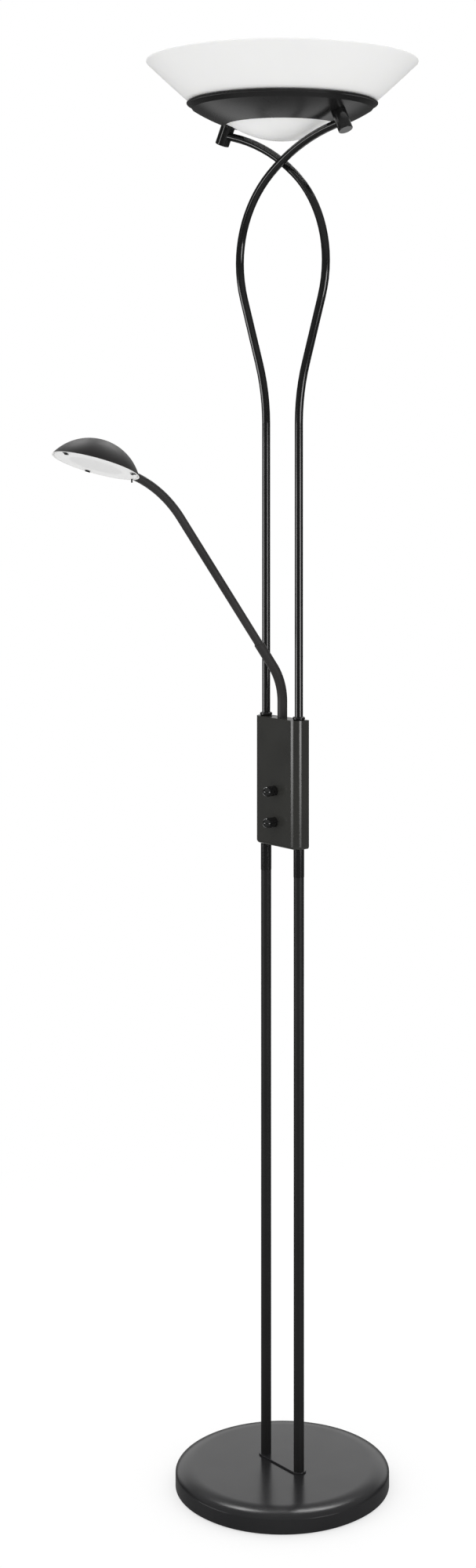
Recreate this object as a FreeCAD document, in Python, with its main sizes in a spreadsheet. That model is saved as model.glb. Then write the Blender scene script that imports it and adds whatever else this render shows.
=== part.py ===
import FreeCAD, Part
import math
import os
import re
import Sketcher
from FreeCAD import Placement, Rotation, Vector

# A torchiere floor lamp with a reading light on a flexible arm, in millimetres and degrees.
# The origin is the centre of the base on the floor. +Z is up, +X is the way from the left pole
# to the right one, and the knobs and the reading light are on the -Y side.

SIZES = {
    # Round base
    "base_radius": 135,
    "base_height": 27,
    "base_edge_radius": 9,
    "cover_wall": 1.2,
    "floor_pad_height": 2,
    "floor_pad_inset": 3,
    "plate_thickness": 1,
    "plate_gap": 0.4,
    "weight_inset": 17,
    "weight_bottom": 8,
    "boss_radius": 6,
    "boss_inset": 35,
    "base_screw_radius": 1.65,
    "base_screw_head_radius": 3.8,
    "base_screw_head_height": 1.3,
    "base_screw_length": 11,
    "inlet_height": 11,
    "inlet_bore": 3.25,
    "inlet_neck": 4.6,
    "inlet_flange_radius": 6,
    "inlet_flange_thickness": 2,
    # Poles
    "pole_spacing": 64.4,
    "lower_pole_radius": 6.5,
    "lower_pole_length": 744,
    "spigot_radius": 5.9,
    "spigot_length": 30,
    "foot_plate_thickness": 2,
    "foot_plate_margin": 2.6,
    "foot_plate_edge": 0.8,
    "stud_radius": 5,
    "stud_bore": 3.2,
    "stud_engagement": 18,
    "stud_nut_height": 4.4,
    "stud_nut_radius": 9,
    "sleeve_radius": 6.75,
    "sleeve_stub": 35,
    "upper_pole_radius": 5.2,
    "upper_pole_wall": 1,
    "upper_pole_straight": 372.4,
    "spread_azimuth": 33,
    "spread_radius": 316,
    "spread_angle": 13.9,
    "spread_straight": 84.8,
    "gather_radius": 192,
    "return_azimuth": 11.1,
    "return_radius": 148.7,
    "return_angle": 48.4,
    "reach_radius": 240.8,
    "reach_angle": 27.6,
    "reach_end": 14.2,
    "collar_radius": 7.85,
    "collar_height": 4,
    "collar_edge": 1.7,
    # Control box
    "box_width": 84.4,
    "box_height": 162,
    "box_front": 12.7,
    "box_rear": 8.2,
    "box_wall": 1.6,
    "box_edge_radius": 10.8,
    "box_corner_radius": 4,
    "box_lid_thickness": 1.2,
    "box_lid_gap": 0.2,
    "box_boss_radius": 3,
    "box_boss_offset": 20,
    "box_boss_margin": 8,
    "box_screw_radius": 1.15,
    "box_screw_length": 9,
    "box_screw_head_radius": 2.6,
    "box_screw_head_height": 1.3,
    "knob_height_lower": 31,
    "knob_height_upper": 70.5,
    "knob_radius": 6.4,
    "knob_reach": 11.4,
    "knob_gap": 0.5,
    "knob_skirt_bore": 5.6,
    "knob_bore_depth": 8,
    "shaft_radius": 3,
    "shaft_depth": 4.6,
    "dimmer_radius": 8,
    "dimmer_depth": 6.5,
    "bushing_radius": 3.5,
    "bushing_reach": 4.2,
    "dimmer_nut_radius": 5.2,
    "dimmer_nut_height": 2,
    "board_thickness": 1.6,
    "board_width": 44,
    "board_bottom": 15,
    "board_height": 104,
    "terminal_width": 30,
    "terminal_height": 12,
    "terminal_depth": 9,
    "terminal_drop": 4,
    # Reading light: arm and flexible neck
    "arm_radius": 6.25,
    "arm_wall": 1.3,
    "arm_depth": 20,
    "arm_rise": 20,
    "arm_bend_radius": 75,
    "arm_bend_angle": 37.5,
    "arm_slant": 36.9,
    "clamp_width": 22,
    "clamp_height": 14,
    "clamp_screw_radius": 2,
    "ferrule_lip": 1.2,
    "ferrule_plug": 16,
    "neck_radius": 5.25,
    "neck_bore": 2,
    "neck_first": 12,
    "neck_straight": 203,
    "neck_bend_radius": 160,
    "neck_bend_angle": 33.7,
    "ball_radius": 4.2,
    "ball_stem": 3.2,
    "ball_shoulder": 3.35,
    "cup_rim": 1.5,
    "cup_chamfer": 0.5,
    # Reading light: head
    "head_rim_radius": 53.5,
    "head_height": 32,
    "head_wall": 1.2,
    "head_entry_height": 6.5,
    "head_entry_inset": 1.2,
    "head_stud_radius": 2.5,
    "head_stud_length": 13.7,
    "head_nut_radius": 3.9,
    "head_nut_height": 2.8,
    "head_spacer_height": 2,
    "lens_thickness": 2,
    "lens_recess": 0.4,
    "reflector_sheet": 0.8,
    "reflector_lip_radius": 33,
    "reflector_throat_radius": 20,
    "reflector_throat_height": 13.4,
    "clip_width": 4,
    "clip_sheet": 0.5,
    "clip_reach": 4,
    "clip_height": 1.5,
    "strap_width": 10,
    "strap_sheet": 1.2,
    "strap_shelf_height": 18.2,
    "strap_shelf_start": 30,
    "strap_shelf_end": 8,
    "strap_tab": 42,
    "head_holder_width": 14,
    "head_holder_start": 4,
    "head_holder_length": 12,
    "head_holder_height": 13.2,
    "head_lamp_radius": 3.5,
    "head_lamp_length": 21,
    "head_lamp_height": 9.5,
    "head_screw_radius": 1,
    "head_screw_head_radius": 2.2,
    "head_screw_length": 7,
    "head_screw_spacing": 6,
    # Bowl
    "saucer_curve_radius": 214,
    "saucer_sheet": 1.5,
    "saucer_hole_margin": 21.3,
    "saucer_dish_margin": 20.7,
    "saucer_lip_width": 5.2,
    "saucer_lip_rise": 7.4,
    "saucer_bead_radius": 2,
    "fitting_radius": 9.25,
    "fitting_length": 27.4,
    "fitting_drop": 15,
    "fitting_edge": 0.8,
    "nipple_radius": 4,
    "nipple_bore": 2.5,
    "nipple_margin": 1.8,
    "nipple_top": 14,
    "rubber_thickness": 1.5,
    "rubber_radius": 6.2,
    "nipple_nut_radius": 5.8,
    "nipple_nut_height": 4,
    "bowl_wall": 3.5,
    "bowl_flare_width": 69,
    "bowl_rim_edge": 1.3,
    "bowl_flare_height": 62.95,
    "bowl_flare_curve": 2000,
    "bowl_seat_outer": 11.7,
    "bowl_seat_inner": 15.3,
    "bowl_bulge_edge": 12,
    "bowl_bulge_curve": 120,
    "bowl_bulge_depth": 24.6,
    "bridge_sheet": 1.5,
    "bridge_width": 18,
    "bridge_foot": 6.5,
    "bridge_slope_run": 17.1,
    "bridge_height": 34,
    "holder_length": 14,
    "holder_width": 18,
    "holder_height": 20,
    "holder_recess": 4,
    "holder_margin": 1,
    "lamp_radius": 5,
    "lamp_cap_radius": 4,
    "lamp_cap_length": 9,
    "lamp_height": 12,
    # Clearances
    "thread_clearance": 0.05,
    "sliding_clearance": 0.05,
    "hole_clearance": 0.3,
    "tube_clearance": 0.2,
    "rest_clearance": 0.1,
    "over_cut": 1,
}

# The flexible neck is cut into links: these lie along its straight run, and the rest in its bend.
STRAIGHT_LINKS = 6
BENT_LINKS = 2

FORMULAS = {
    "pole_x": "pole_spacing / 2",
    "plate_top": "floor_pad_height + plate_thickness",
    "weight_radius": "base_radius - weight_inset",
    "boss_circle": "base_radius - boss_inset",
    "weight_top": "base_height - cover_wall",
    "stud_hole": "stud_radius + hole_clearance",
    "foot_top": "base_height + foot_plate_thickness",
    "sleeve_bottom": "foot_top + lower_pole_length",
    "spigot_top": "sleeve_bottom + spigot_length",
    "box_bottom": "sleeve_bottom + sleeve_stub",
    "box_top": "box_bottom + box_height",
    "box_ceiling": "box_top - box_wall",
    "front_inside": "-(box_front - box_wall)",
    "lid_inside": "box_rear - box_lid_thickness",
    "board_front": "front_inside + dimmer_depth",
    "board_rear": "board_front + board_thickness",
    # Upper poles: where the lower plane of the bend ends, and where the pole ends in its fitting
    "bend_start": "box_top + upper_pole_straight",
    "spread_reach": "(spread_radius + gather_radius) * (1 - cos(spread_angle))"
                    " + spread_straight * sin(spread_angle)",
    "spread_top": "bend_start + (spread_radius + gather_radius) * sin(spread_angle)"
                  " + spread_straight * cos(spread_angle)",
    "last_lean": "return_angle + reach_angle",
    "return_reach": "return_radius * (1 - cos(return_angle))"
                    " + reach_radius * (cos(return_angle) - cos(last_lean)) + reach_end * sin(last_lean)",
    "return_rise": "return_radius * sin(return_angle)"
                   " + reach_radius * (sin(last_lean) - sin(return_angle)) + reach_end * cos(last_lean)",
    "spread_x": "-spread_reach * cos(spread_azimuth)",
    "spread_y": "-spread_reach * sin(spread_azimuth)",
    "joint_x": "spread_x - pole_x + return_reach * cos(return_azimuth)",
    "joint_y": "spread_y + return_reach * sin(return_azimuth)",
    "joint_z": "spread_top + return_rise",
    "joint_radius": "sqrt(joint_x ^ 2 + joint_y ^ 2)",
    "fitting_azimuth": "atan2(joint_y; joint_x) / 1deg",
    # Bowl: every dished layer is centred on one point, where the axes of the two fittings meet
    "joint_distance": "saucer_curve_radius + fitting_drop",
    "fitting_tilt": "asin(joint_radius / joint_distance) / 1deg",
    "dish_centre": "joint_z + joint_distance * cos(fitting_tilt)",
    "dish_inside": "saucer_curve_radius - saucer_sheet",
    "glass_outside": "dish_inside - rubber_thickness",
    "glass_inside": "glass_outside - bowl_wall",
    "foot_level": "glass_inside - rubber_thickness",
    "nipple_thread": "fitting_drop - upper_pole_radius - nipple_margin",
    # How far from the middle the nipples pass the glass, and the forms that follow them
    "nipple_ring": "glass_outside * sin(fitting_tilt)",
    "saucer_hole_radius": "nipple_ring - saucer_hole_margin",
    "saucer_dish_radius": "nipple_ring + saucer_dish_margin",
    "saucer_lip_radius": "saucer_dish_radius + saucer_lip_width",
    "bowl_seat_radius": "nipple_ring - bowl_seat_inner",
    "bowl_bulge_radius": "bowl_seat_radius - bowl_bulge_edge",
    "bowl_shoulder_radius": "nipple_ring + bowl_seat_outer",
    "bowl_rim_radius": "bowl_shoulder_radius + bowl_flare_width",
    "bridge_span": "foot_level * sin(fitting_tilt) - bridge_slope_run",
    "lamp_half_length": "bridge_span - holder_margin - holder_length",
    "dish_edge": "-sqrt(saucer_curve_radius ^ 2 - saucer_dish_radius ^ 2)",
    "bead_level": "dish_edge + saucer_lip_rise",
    "glass_seat": "-sqrt(glass_outside ^ 2 - bowl_seat_radius ^ 2)",
    "glass_bottom": "glass_seat - bowl_bulge_depth",
    "bulge_centre": "glass_bottom + bowl_bulge_curve",
    "bulge_inside": "bowl_bulge_curve - bowl_wall",
    "glass_shoulder": "-sqrt(glass_outside ^ 2 - bowl_shoulder_radius ^ 2)",
    "glass_rim": "glass_shoulder + bowl_flare_height",
    "flare_slope": "atan2(bowl_flare_height; bowl_flare_width) / 1deg",
    "bridge_level": "bridge_height - foot_level",
    "lamp_level": "bridge_level + bridge_sheet + lamp_height",
    # Reading light: the end of the arm tube, the end of the neck and the middle of the head's rim
    "arm_lean": "90 - arm_bend_angle",
    "neck_y": "-arm_bend_radius * (1 - cos(arm_bend_angle)) - arm_slant * cos(arm_lean)",
    "neck_z": "box_top + arm_rise + arm_bend_radius * sin(arm_bend_angle) + arm_slant * sin(arm_lean)",
    "link_length": "(neck_straight - neck_first) / %d" % STRAIGHT_LINKS,
    "link_bend": "neck_bend_angle / %d" % (BENT_LINKS + 1),
    "bend_y": "neck_y - neck_straight * cos(arm_lean)",
    "bend_z": "neck_z + neck_straight * sin(arm_lean)",
    "head_lean": "arm_lean - neck_bend_angle",
    "neck_end_y": "bend_y - neck_bend_radius * (sin(arm_lean) - sin(head_lean))",
    "neck_end_z": "bend_z + neck_bend_radius * (cos(head_lean) - cos(arm_lean))",
    "head_entry": "head_rim_radius - head_entry_inset",
    "head_y": "neck_end_y - head_entry * cos(head_lean) - head_entry_height * sin(head_lean)",
    "head_z": "neck_end_z + head_entry * sin(head_lean) - head_entry_height * cos(head_lean)",
    "dome_curve": "(head_rim_radius ^ 2 + head_height ^ 2) / (2 * head_height)",
    "dome_drop": "dome_curve - head_height",
    "dome_inside": "dome_curve - head_wall",
    "lens_top": "lens_recess + lens_thickness",
    "lens_radius": "sqrt(dome_inside ^ 2 - (dome_drop + lens_top) ^ 2) - tube_clearance",
    "lip_top": "lens_top + reflector_sheet",
    "lip_radius": "sqrt(dome_inside ^ 2 - (dome_drop + lip_top) ^ 2) - rest_clearance",
    "cavity": "ball_radius + sliding_clearance",
}

doc = FreeCAD.newDocument("FloorLamp")
sheet = doc.addObject("Spreadsheet::Sheet", "Dim")
for row, (size_name, size_value) in enumerate(SIZES.items(), start=1):
    sheet.set("A%d" % row, size_name)
    sheet.set("B%d" % row, str(size_value))
    sheet.setAlias("B%d" % row, size_name)
doc.recompute()

nodes = []


def bound(text):
    """Writes a formula in terms of the sheet's cells."""
    def cell(match):
        word = match.group()
        if word in SIZES:
            return "Dim." + word
        if word in FORMULAS:
            return "(" + bound(FORMULAS[word]) + ")"
        return word
    return re.sub(r"[a-z_]{2,}", cell, text)


def number(text):
    """Works a formula out with the sheet's present values."""
    result = sheet.evalExpression(bound(text))
    return float(getattr(result, "Value", result))


def add_node(item, label):
    item.Label = label
    nodes.append(item)
    return item


def place(item, x="0", y="0", z="0"):
    for axis, text in (("x", x), ("y", y), ("z", z)):
        if text != "0":
            item.setExpression("Placement.Base." + axis, bound(text))
    return item


def orient(item, text, target="Placement"):
    item.setExpression(target, bound(text))
    return item


def new_body(label, x="0", y="0", z="0"):
    return place(add_node(doc.addObject("PartDesign::Body", label), label), x, y, z)


def new_sketch(body, plane, name, lift="0", offset=None):
    """Attaches a sketch to a plane of its own body, lifted along the normal or moved by a placement."""
    item = body.newObject("Sketcher::SketchObject", name)
    support = [feature for feature in body.Origin.OriginFeatures if feature.Role == plane][0]
    item.AttachmentSupport = [(support, "")]
    item.MapMode = "FlatFace"
    if lift != "0":
        item.setExpression("AttachmentOffset.Base.z", bound(lift))
    if offset:
        orient(item, offset, "AttachmentOffset")
        doc.recompute()
    return item


def constrain(sketch, text, *terms):
    index = sketch.addConstraint(Sketcher.Constraint(*terms))
    if text:
        sketch.setExpression("Constraints[%d]" % index, bound(text))


def pin(sketch, edge, end, x, y):
    constrain(sketch, x, "DistanceX", -1, 1, edge, end, number(x))
    constrain(sketch, y, "DistanceY", -1, 1, edge, end, number(y))


def arc_between(start, finish, radius, clockwise):
    """Makes the shorter arc between two points and says which of its ends is the start."""
    chord = finish - start
    rise = math.sqrt(max(radius ** 2 - (chord.Length / 2) ** 2, 0))
    side = Vector(chord.y, -chord.x, 0).normalize() if clockwise else Vector(-chord.y, chord.x, 0).normalize()
    centre = start + chord * 0.5 + side * rise
    first, last = (finish, start) if clockwise else (start, finish)
    angles = [math.atan2(point.y - centre.y, point.x - centre.x) for point in (first, last)]
    circle = Part.Circle(centre, Vector(0, 0, 1), radius)
    return Part.ArcOfCircle(circle, angles[0], angles[1])


def outline(sketch, points):
    """Closes a profile through points. A third entry is the radius of the arc to the next point,
    and one that starts with a minus turns clockwise."""
    spots = [Vector(number(point[0]), number(point[1]), 0) for point in points]
    ends = []
    edges = []
    for index, point in enumerate(points):
        start = spots[index]
        finish = spots[(index + 1) % len(points)]
        if len(point) == 2:
            edges.append(sketch.addGeometry(Part.LineSegment(start, finish)))
            ends.append((1, 2))
        else:
            clockwise = point[2].startswith("-")
            radius = number(point[2].lstrip("-"))
            edges.append(sketch.addGeometry(arc_between(start, finish, radius, clockwise)))
            ends.append((2, 1) if clockwise else (1, 2))
    for index, point in enumerate(points):
        following = (index + 1) % len(points)
        constrain(sketch, None, "Coincident", edges[index], ends[index][1],
                  edges[following], ends[following][0])
        pin(sketch, edges[index], ends[index][0], point[0], point[1])
        if len(point) == 3:
            text = point[2].lstrip("-")
            constrain(sketch, text, "Radius", edges[index], number(text))


def circle(sketch, x, y, radius):
    edge = sketch.addGeometry(Part.Circle(Vector(number(x), number(y), 0), Vector(0, 0, 1), number(radius)))
    pin(sketch, edge, 3, x, y)
    constrain(sketch, radius, "Radius", edge, number(radius))


def rectangle(sketch, x_low, y_low, x_high, y_high):
    outline(sketch, [(x_low, y_low), (x_high, y_low), (x_high, y_high), (x_low, y_high)])


def route(sketch, pieces):
    """Lays a path of tangent pieces that starts at the sketch's origin along its vertical axis.
    A piece is a straight (length) or a bend (radius, angle) towards the horizontal axis."""
    point = Vector(0, 0, 0)
    lean = 0.0
    ends = []
    for piece in pieces:
        heading = Vector(math.sin(lean), math.cos(lean), 0)
        if len(piece) == 1:
            finish = point + heading * number(piece[0])
            edge = sketch.addGeometry(Part.LineSegment(point, finish))
            constrain(sketch, piece[0], "Distance", edge, number(piece[0]))
            sense = (1, 2)
        else:
            radius = abs(number(piece[0]))
            turn = math.radians(number(piece[1])) * (-1 if piece[0].startswith("-") else 1)
            side = Vector(heading.y, -heading.x, 0) * math.copysign(radius, turn)
            centre = point + side
            finish = centre - Rotation(Vector(0, 0, 1), -math.degrees(turn)).multVec(side)
            first, last = (finish, point) if turn > 0 else (point, finish)
            angles = [math.atan2(spot.y - centre.y, spot.x - centre.x) for spot in (first, last)]
            arc = Part.ArcOfCircle(Part.Circle(centre, Vector(0, 0, 1), radius), angles[0], angles[1])
            edge = sketch.addGeometry(arc)
            constrain(sketch, piece[0].lstrip("-"), "Radius", edge, radius)
            constrain(sketch, piece[1], "Angle", edge, abs(turn))
            sense = (2, 1) if turn > 0 else (1, 2)
            lean += turn
        if ends:
            constrain(sketch, None, "Tangent", ends[-1][0], ends[-1][1], edge, sense[0])
        else:
            constrain(sketch, None, "Coincident", edge, sense[0], -1, 1)
            if len(piece) == 1:
                constrain(sketch, None, "Vertical", edge)
            else:
                constrain(sketch, None, "PointOnObject", edge, 3, -1)
        ends.append((edge, sense[1]))
        point = finish


def feature(body, kind, name, sketch=None):
    item = body.newObject("PartDesign::" + kind, name)
    if sketch:
        item.Profile = sketch
        sketch.Visibility = False
    return item


def pad(body, sketch, length, name="Pad", middle=False):
    item = feature(body, "Pad", name, sketch)
    item.setExpression("Length", bound(length))
    item.Midplane = middle
    return item


def pocket(body, sketch, length=None, name="Pocket"):
    """Cuts against the sketch's normal, or right through the body when no length is given."""
    item = feature(body, "Pocket", name, sketch)
    if length:
        item.setExpression("Length", bound(length))
    else:
        item.Type = "ThroughAll"
    return item


def revolve(body, sketch, axis="V_Axis", name="Revolution", kind="Revolution"):
    item = feature(body, kind, name, sketch)
    item.ReferenceAxis = (sketch, [axis])
    item.Angle = 360
    return item


def spun(label, points, x="0", y="0", z="0", plane="XZ_Plane", axis="V_Axis"):
    """Makes a turned piece from one profile."""
    body = new_body(label, x, y, z)
    sketch = new_sketch(body, plane, label + "_profile")
    outline(sketch, points)
    revolve(body, sketch, axis)
    return body


def pipe(body, name, section_offset, path_offset, pieces, outer, inner, plane="XZ_Plane"):
    """Sweeps a tube's ring along a route."""
    section = new_sketch(body, "XY_Plane", name + "_section", offset=section_offset)
    circle(section, "0", "0", outer)
    circle(section, "0", "0", inner)
    path = new_sketch(body, plane, name + "_path", offset=path_offset)
    route(path, pieces)
    doc.recompute()
    sweep = feature(body, "AdditivePipe", name, section)
    sweep.Spine = (path, ["Edge%d" % (index + 1) for index in range(len(pieces))])
    path.Visibility = False
    return sweep


def round_edges(body, radius, wanted, kind="Fillet"):
    """Rounds the edges of the body's last feature for which the test holds."""
    doc.recompute()
    base = body.Tip
    names = ["Edge%d" % (index + 1) for index, edge in enumerate(base.Shape.Edges) if wanted(edge)]
    item = body.newObject("PartDesign::" + kind, kind)
    item.Base = (base, names)
    item.setExpression("Radius" if kind == "Fillet" else "Size", bound(radius))
    doc.recompute()
    return item


def polar(body, features, count):
    """Repeats features evenly about the body's vertical axis."""
    item = body.newObject("PartDesign::PolarPattern", "PolarPattern")
    item.Originals = features
    axis = [datum for datum in body.Origin.OriginFeatures if datum.Role == "Z_Axis"][0]
    item.Axis = (axis, [""])
    item.Angle = 360
    item.Occurrences = count
    body.Tip = item
    return item


def solid(kind, name, placement=None, **sizes):
    """Adds a plain solid whose sizes and placement are formulas."""
    item = doc.addObject("Part::" + kind, name)
    for key, text in sizes.items():
        item.setExpression(key, bound(text))
    if placement:
        orient(item, placement)
    return item


def cylinder(name, radius, height, placement=None):
    return solid("Cylinder", name, placement, Radius=radius, Height=height)


def fuse(name, shapes):
    item = doc.addObject("Part::MultiFuse", name)
    item.Shapes = shapes
    item.Refine = True
    return item


def cut(name, base, tool):
    item = doc.addObject("Part::Cut", name)
    item.Base = base
    item.Tool = tool
    return item


def group(label, items):
    """Gathers identical fasteners in one node, each a solid of its own."""
    item = add_node(doc.addObject("Part::Compound", label), label)
    item.Links = items
    return item


def at(x="0", y="0", z="0", turn="rotationz(0)"):
    return "placement(vector(%s; %s; %s); %s)" % (x, y, z, turn)


def washer(name, radius, bore, height, placement):
    disc = cylinder(name + "_disc", radius, height)
    hole = cylinder(name + "_bore", bore, height)
    return orient(cut(name, disc, hole), placement)


def hex_nut(name, radius, bore, height, placement):
    block = solid("Prism", name + "_block", Circumradius=radius, Height=height)
    block.Polygon = 6
    hole = cylinder(name + "_bore", bore, height)
    return orient(cut(name, block, hole), placement)


def screw(name, shank, length, head, head_height, placement):
    """A plain screw: its shank runs up from the seat of its head."""
    stem = cylinder(name + "_shank", shank, length)
    cap = cylinder(name + "_head", head, head_height, at(z="-" + head_height))
    return orient(fuse(name, [stem, cap]), placement)


def at_poles(sketch, radius):
    for x in ("-pole_x", "pole_x"):
        circle(sketch, x, "0", radius)


def make_base_cover():
    cover = spun("base_cover", [
        ("base_radius", "floor_pad_height"),
        ("base_radius", "base_height - base_edge_radius", "base_edge_radius"),
        ("base_radius - base_edge_radius", "base_height"),
        ("0", "base_height"),
        ("0", "weight_top"),
        ("base_radius - base_edge_radius", "weight_top", "-(base_edge_radius - cover_wall)"),
        ("base_radius - cover_wall", "base_height - base_edge_radius"),
        ("base_radius - cover_wall", "floor_pad_height"),
    ])
    studs = new_sketch(cover, "XY_Plane", "stud_holes", "base_height + over_cut")
    at_poles(studs, "stud_hole")
    pocket(cover, studs)
    inlet = new_sketch(cover, "XZ_Plane", "inlet_hole", "-(base_radius - base_edge_radius)")
    circle(inlet, "0", "inlet_height", "inlet_neck + rest_clearance")
    pocket(cover, inlet, "base_edge_radius + over_cut")


def make_base_weight():
    weight = spun("base_weight", [
        ("0", "weight_bottom"),
        ("weight_radius", "weight_bottom"),
        ("weight_radius", "weight_top"),
        ("0", "weight_top"),
    ])
    boss = new_sketch(weight, "XY_Plane", "boss", "plate_top")
    circle(boss, "0", "-boss_circle", "boss_radius")
    boss_pad = pad(weight, boss, "weight_bottom - plate_top", "BossPad")
    bore = new_sketch(weight, "XY_Plane", "boss_bore", "plate_top + base_screw_length")
    circle(bore, "0", "-boss_circle", "base_screw_radius + thread_clearance")
    boss_bore = pocket(weight, bore, "base_screw_length", "BossBore")
    polar(weight, [boss_pad, boss_bore], 3)
    studs = new_sketch(weight, "XY_Plane", "stud_holes", "base_height")
    at_poles(studs, "stud_hole")
    pocket(weight, studs)


def make_base_plate():
    plate = new_body("base_plate")
    disc = new_sketch(plate, "XY_Plane", "disc", "floor_pad_height")
    circle(disc, "0", "0", "base_radius - cover_wall - plate_gap")
    pad(plate, disc, "plate_thickness")
    hole = new_sketch(plate, "XY_Plane", "screw_hole", "plate_top + over_cut")
    circle(hole, "0", "-boss_circle", "base_screw_radius + hole_clearance")
    polar(plate, [pocket(plate, hole)], 3)


def make_base_pad():
    floor_pad = new_body("base_pad")
    disc = new_sketch(floor_pad, "XY_Plane", "disc")
    circle(disc, "0", "0", "base_radius - floor_pad_inset")
    pad(floor_pad, disc, "floor_pad_height")
    recess = new_sketch(floor_pad, "XY_Plane", "head_recess", "floor_pad_height")
    circle(recess, "0", "-boss_circle", "base_screw_head_radius + hole_clearance")
    polar(floor_pad, [pocket(floor_pad, recess, "base_screw_head_height + rest_clearance")], 3)


def make_base_fasteners():
    screws = []
    for index in range(3):
        turn = "rotationz(%d)" % (index * 120)
        spot = "placement(vector(0; 0; 0); %s) * placement(vector(0; -boss_circle; floor_pad_height);" \
               " rotationz(0))" % turn
        screws.append(screw("base_screw_%d" % index, "base_screw_radius", "base_screw_length",
                            "base_screw_head_radius", "base_screw_head_height", spot))
    group("base_screws", screws)


def make_cord_inlet():
    spun("cord_inlet", [
        ("-cover_wall / 2 - rest_clearance * 2 - inlet_flange_thickness", "inlet_bore"),
        ("-cover_wall / 2 - rest_clearance * 2 - inlet_flange_thickness", "inlet_flange_radius"),
        ("-cover_wall / 2 - rest_clearance * 2", "inlet_flange_radius"),
        ("-cover_wall / 2 - rest_clearance * 2", "inlet_neck"),
        ("cover_wall / 2 + rest_clearance", "inlet_neck"),
        ("cover_wall / 2 + rest_clearance", "inlet_flange_radius"),
        ("cover_wall / 2 + rest_clearance + inlet_flange_thickness", "inlet_flange_radius"),
        ("cover_wall / 2 + rest_clearance + inlet_flange_thickness", "inlet_bore"),
    ], y="base_radius - cover_wall / 2", z="inlet_height", plane="YZ_Plane", axis="H_Axis")


def make_foot_plate():
    plate = new_body("pole_foot_plate")
    half = "(lower_pole_radius + foot_plate_margin)"
    shape = new_sketch(plate, "XY_Plane", "stadium", "base_height")
    outline(shape, [
        ("-pole_x", "-" + half),
        ("pole_x", "-" + half, half),
        ("pole_x + " + half, "0", half),
        ("pole_x", half),
        ("-pole_x", half, half),
        ("-pole_x - " + half, "0", half),
    ])
    pad(plate, shape, "foot_plate_thickness")
    top = number("foot_top")
    round_edges(plate, "foot_plate_edge",
                lambda edge: all(abs(vertex.Z - top) < 1e-6 for vertex in edge.Vertexes))
    studs = new_sketch(plate, "XY_Plane", "stud_holes", "foot_top + over_cut")
    at_poles(studs, "stud_hole")
    pocket(plate, studs)


def make_pole_studs():
    """Hollow threaded studs hold the poles, the cover and the weight together and let the wires through."""
    studs = new_body("pole_studs")
    ring = new_sketch(studs, "XY_Plane", "rings", "weight_bottom - stud_nut_height")
    at_poles(ring, "stud_radius")
    at_poles(ring, "stud_bore")
    pad(studs, ring, "foot_top + stud_engagement - weight_bottom + stud_nut_height")
    nuts = []
    for side, x in (("left", "-pole_x"), ("right", "pole_x")):
        nuts.append(hex_nut("stud_nut_" + side, "stud_nut_radius", "stud_radius + thread_clearance",
                            "stud_nut_height", at(x, z="weight_bottom - stud_nut_height")))
    group("stud_nuts", nuts)


def make_lower_pole(side, x):
    bore = "stud_radius + thread_clearance"
    spun("lower_pole_" + side, [
        (bore, "foot_top"),
        ("lower_pole_radius", "foot_top"),
        ("lower_pole_radius", "sleeve_bottom"),
        ("spigot_radius", "sleeve_bottom"),
        ("spigot_radius", "spigot_top"),
        (bore, "spigot_top"),
    ], x=x)


def make_sleeve(side, x):
    """The sleeve slips over the lower pole's spigot and holds the upper pole above it."""
    wide = "spigot_radius + sliding_clearance"
    narrow = "upper_pole_radius + sliding_clearance"
    spun("pole_sleeve_" + side, [
        (wide, "sleeve_bottom"),
        ("sleeve_radius", "sleeve_bottom"),
        ("sleeve_radius", "box_ceiling"),
        (narrow, "box_ceiling"),
        (narrow, "spigot_top"),
        (wide, "spigot_top"),
    ], x=x)


def make_upper_pole(side, x, turn):
    """Each upper pole spreads in one upright plane, comes back upright, and then reaches over to the
    other side in a second plane, so that the two poles pass each other without touching."""
    pole = new_body("upper_pole_" + side)
    orient(pole, at(x, turn="rotationz(%d)" % turn))
    inner = "upper_pole_radius - upper_pole_wall"
    pipe(pole, "Spread", at(z="spigot_top"),
         at(y="spigot_top", turn="rotationy(180 + spread_azimuth)"), [
             ("bend_start - spigot_top",),
             ("spread_radius", "spread_angle"),
             ("spread_straight",),
             ("-gather_radius", "spread_angle")],
         "upper_pole_radius", inner)
    pipe(pole, "Return", at("spread_x", "spread_y", "spread_top"),
         at("spread_x", "spread_top", "-(spread_y)", "rotationy(return_azimuth)"), [
             ("return_radius", "return_angle"),
             ("reach_radius", "reach_angle"),
             ("reach_end",)],
         "upper_pole_radius", inner)


def make_collars():
    collars = new_body("pole_collars")
    rings = new_sketch(collars, "XY_Plane", "rings", "box_top")
    at_poles(rings, "collar_radius")
    at_poles(rings, "upper_pole_radius + sliding_clearance")
    pad(collars, rings, "collar_height")
    outer = number("collar_radius")
    round_edges(collars, "collar_edge", lambda edge: edge.Curve.TypeId == "Part::GeomCircle"
                and abs(edge.Curve.Radius - outer) < 1e-6)


def boss_spots():
    for x in ("-box_boss_offset", "box_boss_offset"):
        for z in ("box_bottom + box_boss_margin", "box_top - box_boss_margin"):
            yield x, z


def runs_back(edge, side, level):
    """True for the straight edges from front to rear at a distance from the middle and at a height."""
    flat = all(abs(vertex.Z - number(level)) < 1e-6 for vertex in edge.Vertexes)
    across = edge.BoundBox.XLength < 1e-6 and abs(abs(edge.Vertexes[0].X) - number(side)) < 1e-6
    return flat and across


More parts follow.
